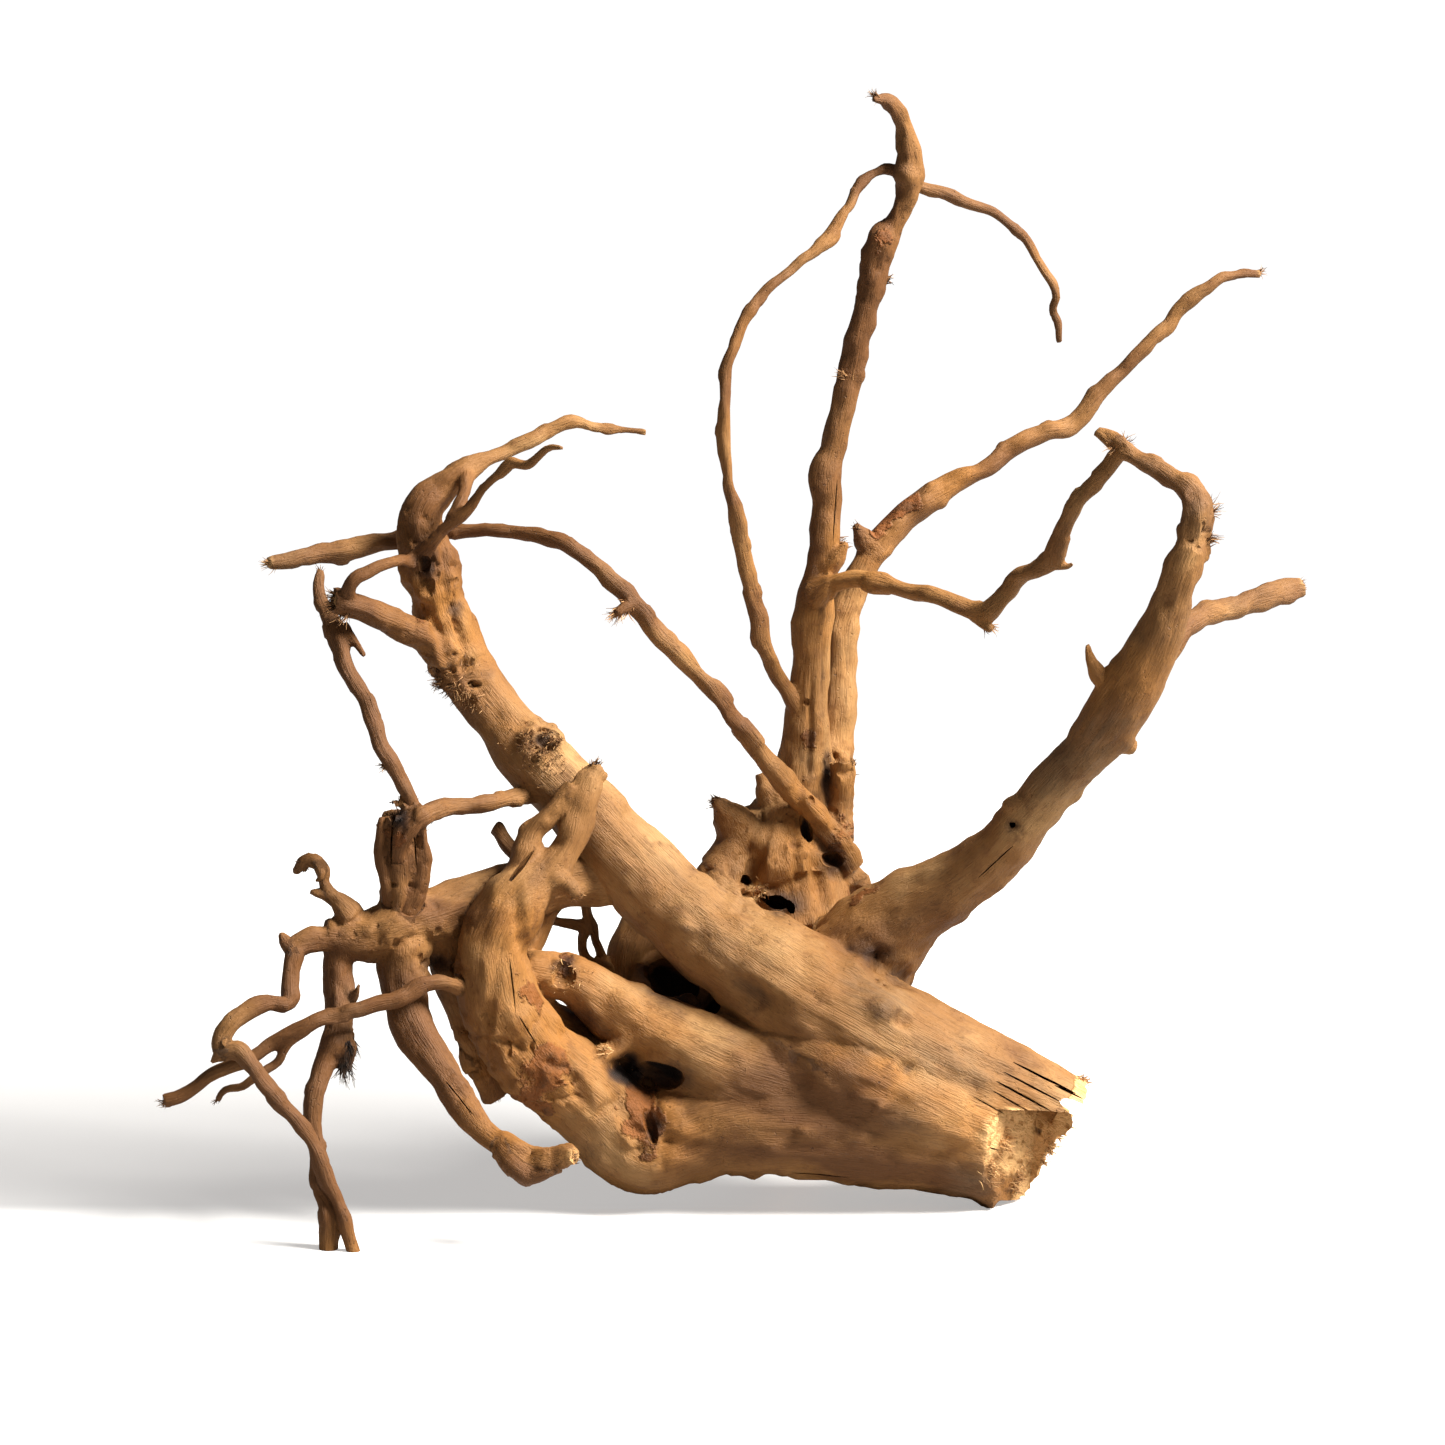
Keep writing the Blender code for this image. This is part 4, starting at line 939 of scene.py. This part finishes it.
keep_attribute(wood, "grain_one", grains[0][0])
keep_attribute(wood, "grain_two", grains[1][0])
keep_attribute(wood, "second", second)
keep_attribute(wood, "marks", np.stack([stain_and_hollow_shade, bark, torn], axis=1))
keep_attribute(wood, "tones", tones)

# %% [markdown]
# ## Torn fibres
# Where roots were pulled off, the wood ends in fibres like coarse hair. Real hair curves would
# be lost on export, so each fibre is a thin tapered curve, and all of them become one mesh.
# A tuft is given by its place, the number and length of its fibres, how far they spread, the
# way they point (across, away, up), and how pale they are.

# %% Where fibres stand
TUFTS = [
    (181, 272, 8, 160, 4, 14, (-0.5, -0.5, -0.3), 0.4),
    (174, 274, 6, 30, 5, 3.0, (-1.0, -0.2, -0.2), 0.4),
    (216, 297, -4, 700, 2.6, 16, (0.1, -0.3, 0.2), 0.42),
    (186, 279, 4, 90, 3.0, 8, (0.4, -0.3, -0.6), 0.45),
    (238, 306, -6, 46, 5, 3.0, (0.5, -0.2, 0.6), 0.3),
    (246, 246, 12, 40, 5, 2.4, (-0.7, -0.3, -0.5), 0.45),
    (250, 244, 14, 20, 6, 3.0, (-0.4, -0.5, -0.8), 0.7),
    (133, 240, -12, 60, 5, 3.6, (-1.0, -0.3, -0.1), 0.4),
    (138, 243, -12, 30, 7, 4.0, (-0.7, -0.4, -0.7), 0.4),
    (286, 321, 38, 36, 4, 2.6, (-0.8, -0.1, 0.5), 0.25),
    (521, 234, 21, 50, 3, 3.0, (1.0, 0.0, 0.3), 0.35),
    (138, 425, -51, 90, 8, 2.4, (0.1, 0.0, -3.0), 0.02),
    (139, 418, -49, 40, 7, 2.6, (0.3, -0.3, -2.4), 0.02),
    (155, 306, -31, 24, 4, 2.0, (-0.8, -0.2, 0.2), 0.4),
    (338, 150, 64, 30, 5, 2.2, (-0.5, -0.5, 0.8), 0.5),
    (337, 218, 62, 36, 5, 2.6, (0.7, -0.2, 0.5), 0.35),
    (357, 112, 64, 24, 4, 2.2, (0.8, -0.1, 0.4), 0.35),
    (350, 38, 50, 36, 4, 1.8, (-0.8, -0.2, 0.3), 0.4), (108, 225, 5, 36, 4, 2.4, (-1.0, 0.0, 0.1), 0.6),
    (448, 178, -27, 50, 6, 3.6, (-0.2, -0.8, 0.3), 0.4),
    (482, 205, -37, 60, 6, 4.6, (0.6, -0.4, 0.9), 0.5),
    (483, 216, -38, 40, 5, 3.6, (0.9, -0.2, 0.2), 0.4),
    (160, 327, -30, 60, 4, 5.0, (0.0, -0.3, 1.0), 0.4),
    (128, 229, 13, 16, 4, 1.6, (0.2, -0.2, 1.0), 0.4), (504, 109, 131, 20, 4, 1.6, (1.0, 0.1, 0.1), 0.4),
    (343, 211, 80, 20, 4, 1.8, (-0.7, -0.3, 0.6), 0.4),
    (396, 251, 17, 20, 4, 1.8, (0.8, -0.2, -0.6), 0.4),
    (243, 420, -20, 22, 5, 2.6, (-1.0, -0.4, 0.0), 0.9),
    (225, 388, -20, 26, 2.5, 4.0, (-0.2, -1.0, 0.1), 0.6),
    (199, 438, -10, 24, 3, 2.4, (0.3, 0.0, -1.0), 0.3),
    (230, 463, -77, 30, 3, 3.0, (1.0, 0.0, 0.2), 0.3),
    (121, 347, -27, 20, 3, 2.0, (-1.0, 0.0, 0.2), 0.4),
    (66, 441, -64, 24, 4, 2.0, (-1.0, 0.0, -0.1), 0.4),
    (86, 441, -64, 14, 3, 1.4, (-0.8, 0.0, -0.5), 0.4),
    (425, 452, -2, 90, 5, 9.0, (0.9, -0.1, -0.3), 0.9),
    (418, 462, -6, 90, 5, 9.0, (0.9, -0.2, -0.4), 0.85),
    (410, 474, -8, 80, 5, 7.0, (0.9, -0.3, -0.4), 0.7),
    (434, 431, -2, 50, 4, 5.0, (1.0, 0.0, -0.2), 0.8),
    (405, 458, -20, 80, 6, 8.0, (0.9, -0.5, -0.3), 0.95),
    (398, 468, -22, 60, 5, 7.0, (0.8, -0.6, -0.3), 0.8),
    (379, 435, 50, 70, 5, 7.0, (0.2, 1.0, 0.1), 0.7),
    (341, 474, 80, 20, 3, 3.0, (1.0, 0.0, 0.0), 0.4), (303, 357, 30, 60, 4, 5, (-0.2, -0.6, 0.3), 0.6),
    (227, 390, -20, 60, 2.2, 13, (-0.2, -0.5, 0.1), 0.75),
    (231, 358, -27, 30, 2.6, 4, (0.6, -0.4, 0.2), 0.5),
    (337, 303, 49, 60, 2.6, 8, (0.1, -0.1, 1.0), 0.4), (160, 326, -30, 60, 3, 12, (0.0, -0.3, 1.0), 0.3),
]
print(sum(tuft[3] for tuft in TUFTS), "fibres are wanted")


# %% Grow them
def fibre_path(start, way, length, rng):
    """Five points of one fibre, a little curled."""
    way = Vector(way).normalized()
    curl = Vector([rng.uniform(-1, 1) for _ in range(3)]) * 0.55
    step = length / 4
    path = [start - way * 1.2]
    for i in range(4):
        way = (way + curl * 0.35 + Vector([rng.uniform(-1, 1) for _ in range(3)]) * 0.16).normalized()
        path.append(path[-1] + way * step)
    return path


FARTHEST_WOOD = 9
rng = random.Random(4)
surface = BVHTree.FromPolygons(points.tolist(), [tuple(p.vertices) for p in wood.data.polygons])
bpy.ops.curve.primitive_bezier_curve_add(location=(0, 0, 0))
fibres = bpy.context.object
fibres.name = "torn_fibres"
fibres.data.splines.clear()
fibres.data.dimensions = "3D"
fibres.data.resolution_u = 1
fibres.data.bevel_depth = 1
fibres.data.bevel_resolution = 0
shades = []
for across, down, away, count, length, spread, way, pale in TUFTS:
    for _ in range(count):
        at = Vector(place(across + rng.gauss(0, spread * 0.4), down + rng.gauss(0, spread * 0.4), away)[:3])
        start, normal, _, far = surface.find_nearest(at)
        if start is None or far > FARTHEST_WOOD:
            continue
        lean = Vector(way) * 0.9 + normal * 0.5 + Vector([rng.uniform(-1, 1) for _ in range(3)]) * 0.4
        reach = length * rng.uniform(0.5, 1.3)
        path = fibre_path(start, lean, reach, rng)
        spline = fibres.data.splines.new("POLY")
        spline.points.add(len(path) - 1)
        width = rng.uniform(0.14, 0.36)
        for i, (knot, spot) in enumerate(zip(spline.points, path)):
            knot.co = (*[c * MM for c in spot], 1)
            knot.radius = width * MM * (1 - 0.2 * i)
        shades.append(np.clip(pale + rng.uniform(-0.35, 0.3) * (pale > 0.1), 0, 1))
print(len(shades), "fibres in", len(TUFTS), "tufts")

# %% Make them one mesh, with their shade
select_only(fibres)
bpy.ops.object.convert(target="MESH")
fibres = bpy.context.object
per_fibre = len(fibres.data.vertices) // len(shades)
keep_attribute(fibres, "shade", np.repeat(shades, per_fibre))
bpy.ops.object.shade_smooth()
fibres.data.materials.clear()
fibre_triangles = sum(len(p.vertices) - 2 for p in fibres.data.polygons)
print("the fibres have", fibre_triangles, "triangles,", per_fibre, "points each")

# %% [markdown]
# ## Shader maths
# A wood shader is mostly sums, so a small class lets Python expressions add Math nodes. It
# wraps one output socket, and `+`, `*` and the others each make a node. Everything else comes
# from one method that takes a node's type, its settings and its inputs.


# %% A socket that can be reckoned with
class Paint:
    """One output of a material's node tree."""

    def __init__(self, tree, socket):
        self.tree, self.socket = tree, socket

    def to(self, target):
        """Feeds this output to a shader's socket."""
        self.tree.links.new(self.socket, target)

    def node(self, kind, settings=None, **inputs):
        """A new node: its settings first, then values or links for its inputs, by name or as i0, i1."""
        made = self.tree.nodes.new(kind)
        for name, value in (settings or {}).items():
            if name == "stops":
                ramp = made.color_ramp
                while len(ramp.elements) < len(value):
                    ramp.elements.new(0.5)
                for stop, (where, colour) in zip(ramp.elements, value):
                    stop.position, stop.color = where, (*colour, 1)
            else:
                setattr(made, name, value)
        for name, value in inputs.items():
            numbered = name[0] == "i" and name[1:].isdigit()
            target = made.inputs[int(name[1:]) if numbered else name]
            if isinstance(value, Paint):
                value.to(target)
            else:
                target.default_value = value
        return made

    def out(self, kind, settings=None, output=0, **inputs):
        """One output of a new node."""
        return Paint(self.tree, self.node(kind, settings, **inputs).outputs[output])

    def here(self):
        """The place of the point in the piece's own coordinates."""
        return self.out("ShaderNodeTexCoord", output=3)

    def attribute(self, name, output):
        """An attribute of the mesh: output 1 gives it as a vector, output 2 as a number."""
        return self.out("ShaderNodeAttribute", {"attribute_name": name}, output=output)

    def parts(self):
        """The three numbers of this vector."""
        return [Paint(self.tree, part) for part in self.node("ShaderNodeSeparateXYZ", i0=self).outputs]

    def maths(self, operation, first, second=0.0, clamp=False):
        return self.out("ShaderNodeMath", {"operation": operation, "use_clamp": clamp}, i0=first, i1=second)

    def __add__(self, other):
        return self.maths("ADD", self, other)

    __radd__ = __add__

    def __mul__(self, other):
        return self.maths("MULTIPLY", self, other)

    __rmul__ = __mul__

    def __sub__(self, other):
        return self.maths("SUBTRACT", self, other)

    def __rsub__(self, other):
        return self.maths("SUBTRACT", other, self)

    def clamped(self):
        return self.maths("ADD", self, 0.0, clamp=True)

    def step(self, low, high):
        """0 below low, 1 above high, smooth between."""
        settings = {"interpolation_type": "SMOOTHSTEP", "clamp": True}
        return self.out("ShaderNodeMapRange", settings, i0=self, i1=low, i2=high, i3=0.0, i4=1.0)

    def colours(self, first, second, share):
        """One colour turning into another, by this share of the second."""
        return self.out("ShaderNodeMix", {"data_type": "RGBA"}, output=2, i0=share, i6=first, i7=second)

    def covered(self, colour, share):
        """This colour with some of another one over it."""
        return self.colours(self, colour, share)


# %% A new material
def new_paint(name, roughness):
    """A new material, the paint box that adds its nodes, and its Principled shader."""
    material = bpy.data.materials.new(name)
    material.use_nodes = True
    shader = material.node_tree.nodes["Principled BSDF"]
    shader.inputs["Roughness"].default_value = roughness
    shader.inputs["Specular IOR Level"].default_value = 0.3
    return material, Paint(material.node_tree, None), shader


wood_paint, box, shader = new_paint("bare_root_wood", 0.7)
print("the new material has", len(box.tree.nodes), "nodes")

# %% [markdown]
# ## The wood's finish
# Seen close, the bare wood is a warm tan with hair-fine darker lines along the grain, wider
# streaks of honey and brown, and a grey veil where it stood in water. Knots and hollows carry
# near-black stains, and hollows get painted shade that darkens them the deeper they go. Patches
# of inner bark are red-brown, and torn wood is pale yellow. Painted shade turns parts of the
# wood brown, and painted highlights turn others pale.
# Each layer is a mask, and the colour goes through them one after another.

# %% Layers that follow the grain, and layers that run all ways
second_share = box.attribute("second", 2)
# The first mark is the stains together with the painted shade deep in hollows.
stained_and_hollow_shaded, barked, torn_away = box.attribute("marks", 1).parts()
# The third tone is painted shade above nought and a painted highlight below it, with the darker tone of slim
# roots and at random.
warmth, greyed, darker_tone_and_painted_light = box.attribute("tones", 1).parts()


def along_grain(cross, along, rough=0.5):
    """Noise with swings of these lengths in mm, across the grain and along it."""
    squeeze = (1 / cross, 1 / cross, 1 / along)
    found = []
    for name in ("grain_one", "grain_two"):
        grain = box.attribute(name, 1)
        spot = box.out("ShaderNodeVectorMath", {"operation": "MULTIPLY"}, i0=grain, i1=squeeze)
        found.append(box.out("ShaderNodeTexNoise", Vector=spot, Scale=1.0, Detail=3.0, Roughness=rough))
    return found[0] * (1 - second_share) + found[1] * second_share


def anywhere(size, detail, rough=0.55):
    """Noise of this size in mm that runs all ways."""
    scale = 1 / (size * MM)
    return box.out("ShaderNodeTexNoise", Vector=box.here(), Scale=scale, Detail=detail, Roughness=rough)


hair, strand, streak = along_grain(0.6, 9, 0.65), along_grain(2.6, 60), along_grain(9, 110)
cloud, blotch, speck = anywhere(34, 4.0), anywhere(9, 4.0, 0.6), anywhere(1.5, 2.0)
print("the layers take", len(box.tree.nodes), "nodes")

# %% Colour, from the bare wood to what lies on it
TAN, HONEY, BROWN = (0.255, 0.117, 0.033, 1), (0.320, 0.130, 0.023, 1), (0.108, 0.039, 0.009, 1)
PALE_AND_HIGHLIGHT, GREY, UMBER = (0.385, 0.212, 0.080, 1), (0.150, 0.087, 0.041, 1), (0.034, 0.013, 0.005, 1)
PITCH, RUST, STRAW = (0.008, 0.004, 0.003, 1), (0.200, 0.060, 0.009, 1), (0.780, 0.460, 0.190, 1)
AMBER = (0.420, 0.200, 0.058, 1)

# Tan turns pale with the streaks and clouds. Painted shade holds the pale back, and painted highlights bring
# more of it.
bare = box.colours(TAN, PALE_AND_HIGHLIGHT, (streak * 0.4 + cloud * 1.2 - 0.41 - darker_tone_and_painted_light * 0.5).step(0.28, 0.80))
bare = bare.covered(HONEY, (warmth * 0.7 + blotch * 0.6 - 0.30).step(0.15, 0.8) * 0.8)
# Painted shade: brown where the third tone is high, with the darker tone of slim roots, broken up by clouds
# and streaks.
bare = bare.covered(BROWN, (darker_tone_and_painted_light * 1.0 + cloud * 0.7 + streak * 0.5 - 0.68).step(0.05, 0.75) * 0.82)
bare = bare.covered(BROWN, (strand + blotch * 0.5 - 0.25).step(0.56, 0.80) * 0.2)
bare = bare.covered(GREY, (greyed * (cloud * 0.8 + strand * 0.7 - 0.15)).step(0.1, 0.8) * 0.75)
bare = bare.covered(UMBER, (hair.step(0.48, 0.70) * (0.10 + 0.36 * cloud)).clamped())
bare = bare.covered(BROWN, blotch.step(0.52, 0.72) * 0.45)
bare = bare.covered(UMBER, (speck.step(0.68, 0.74) * blotch.step(0.50, 0.64) * 0.7).clamped())
rusty = (barked * 1.2 + blotch * 1.3 - 0.98).step(0.10, 0.26)
bare = bare.covered(box.colours(RUST, BROWN, blotch.step(0.5, 0.75)), rusty * 0.8)
straw = (torn_away * 1.2 + strand * 0.5 - 0.42).step(0.1, 0.6)
bare = bare.covered(box.colours(STRAW, AMBER, strand.step(0.50, 0.72)), straw * 0.95)
# Stains, and the painted shade deep in hollows, turn the wood umber, and pitch black at their darkest.
dark = stained_and_hollow_shaded + (blotch - 0.5) * 0.55 + (streak - 0.5) * 0.4
colour = bare.covered(UMBER, dark.step(0.18, 0.75) * 0.9).covered(PITCH, dark.step(0.62, 1.05) * 0.95)
colour.to(shader.inputs["Base Color"])
(0.50 + hair * 0.20 + blotch * 0.10).clamped().to(shader.inputs["Roughness"])
print("with its colour it takes", len(box.tree.nodes))

# %% Relief too fine for the mesh
ridges = hair * 0.6 + strand * 0.4 + speck.step(0.64, 0.78) * -0.30 + blotch * 0.5
ridges = ridges + rusty * (blotch * 1.2 + speck * 0.5) + straw * along_grain(1.3, 16, 0.7) * 1.6
relief = box.out("ShaderNodeBump", Strength=0.9, Distance=1.4 * MM, Height=ridges)
relief.to(shader.inputs["Normal"])
wood.data.materials.clear()
wood.data.polygons.foreach_set("material_index", [0] * len(wood.data.polygons))
wood.data.materials.append(wood_paint)
print("the wood's material has", len(box.tree.nodes), "nodes")

# %% The fibres' finish
fibre_paint, box, shader = new_paint("torn_fibre", 0.75)
wisp = box.out("ShaderNodeTexNoise", Vector=box.here(), Scale=400.0, Detail=2.0)
pale = (box.attribute("shade", 2) + wisp * 0.3 - 0.15).clamped()
DARK_TO_PALE = [
    (0.0, (0.014, 0.008, 0.005)), (0.3, (0.17, 0.078, 0.032)),
    (0.6, (0.42, 0.225, 0.095)), (1.0, (0.74, 0.46, 0.20)),
]
box.out("ShaderNodeValToRGB", {"stops": DARK_TO_PALE}, i0=pale).to(shader.inputs["Base Color"])
fibres.data.materials.append(fibre_paint)
print("the fibres' material has", len(box.tree.nodes), "nodes")

# %% [markdown]
# ## Joining the model
# Both pieces ride on the only body, and stand for the one solid, which stays for collision.

# %% Ride and replace
for piece in (wood, fibres):
    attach(piece, "root")
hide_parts("spiderwood")
print("pieces:", wood.name, "and", fibres.name)

# %% [markdown]
# ## The studio
# The photograph has a white sweep and one large soft light from the upper right, which leaves
# the left of each root in shade. The floor is a plane that fades into the white world away
# from the piece, so that no horizon shows, and a painted shadow makes it a little grey behind
# the piece, at its left. Floor and world both look paler to the camera than they light the
# wood, because the shaded sides would lose their depth in so much white. A Light Path node
# tells the two apart.

# %% Floor
FLOOR_LIT, FLOOR_GLOW = (0.86, 0.86, 0.86, 1), (0.40, 0.39, 0.38, 1)
PAINTED_SHADOW_BASE, PAINTED_SHADOW_GLOW = (0.17, 0.17, 0.17, 1), (0.47, 0.455, 0.445, 1)
FLOOR_TO_WOOD, NO_GLOW = (0.40, 0.38, 0.36, 1), (0, 0, 0, 1)
bpy.ops.mesh.primitive_plane_add(size=6, location=(0, 0, 0))
floor = bpy.context.object
floor.name = "pale_floor"
floor_paint, box, shader = new_paint("pale_floor", 0.35)
shader.inputs["Emission Strength"].default_value = 1.0
seen = box.out("ShaderNodeLightPath")
aside, behind = box.here().parts()[:2]
# Painted shadow: a grey patch on the floor behind the piece, at its left, seen by the camera only.
painted_shadow = behind.step(-0.055, -0.03) * (1 - behind.step(0.0, 0.60)) * (1 - aside.step(-0.06, 0.12)) * 0.9
box.colours(FLOOR_TO_WOOD, box.colours(FLOOR_LIT, PAINTED_SHADOW_BASE, painted_shadow), seen).to(shader.inputs["Base Color"])
box.colours(NO_GLOW, box.colours(FLOOR_GLOW, PAINTED_SHADOW_GLOW, painted_shadow), seen).to(shader.inputs["Emission Color"])
from_middle = box.out("ShaderNodeVectorMath", {"operation": "LENGTH"}, output=1, i0=box.here())
(1 - from_middle.step(0.55, 1.5)).to(shader.inputs["Alpha"])
floor.data.materials.append(floor_paint)
print("the floor's material has", len(box.tree.nodes), "nodes")

# %% The one lamp
LAMP_AT, LAMP_TOWARD = Vector((1.6, -0.5, 1.9)), Vector((0, 0, 0.15))
bpy.ops.object.light_add(type="AREA", location=LAMP_AT)
lamp = bpy.context.object
lamp.name = "key"
lamp.data.shape = "DISK"
lamp.data.size = 1.2
lamp.data.energy = 235
lamp.data.color = (1.0, 0.97, 0.92)
lamp.rotation_euler = (LAMP_TOWARD - LAMP_AT).to_track_quat("-Z", "Y").to_euler()
print("the lamp stands", round((LAMP_AT - LAMP_TOWARD).length, 2), "m from the piece")

# %% World
LIGHT_OF_WORLD, MORE_WHEN_SEEN = 0.16, 0.88
world = bpy.data.worlds.new("white_room")
bpy.context.scene.world = world
world.use_nodes = True
box = Paint(world.node_tree, None)
sky = world.node_tree.nodes["Background"]
sky.inputs[0].default_value = (1, 1, 1, 1)
(box.out("ShaderNodeLightPath") * MORE_WHEN_SEEN + LIGHT_OF_WORLD).to(sky.inputs[1])
bpy.context.scene.view_settings.view_transform = "Standard"
print("the world's light is", LIGHT_OF_WORLD, "for the wood")

# %% Camera, at the eye of the drawing sheet
SENSOR_WIDTH = 36
bpy.ops.object.camera_add(location=tuple(EYE * MM))
camera = bpy.context.object
camera.rotation_euler = Vector(AHEAD).to_track_quat("-Z", "Y").to_euler()
camera.data.sensor_width = SENSOR_WIDTH
camera.data.lens = SENSOR_WIDTH * EYE_DISTANCE / SHEET_SIDE
camera.data.clip_end = 50
bpy.context.scene.camera = camera
print(f"lens {camera.data.lens:.0f} mm, eye at {(EYE * MM).round(3)}")
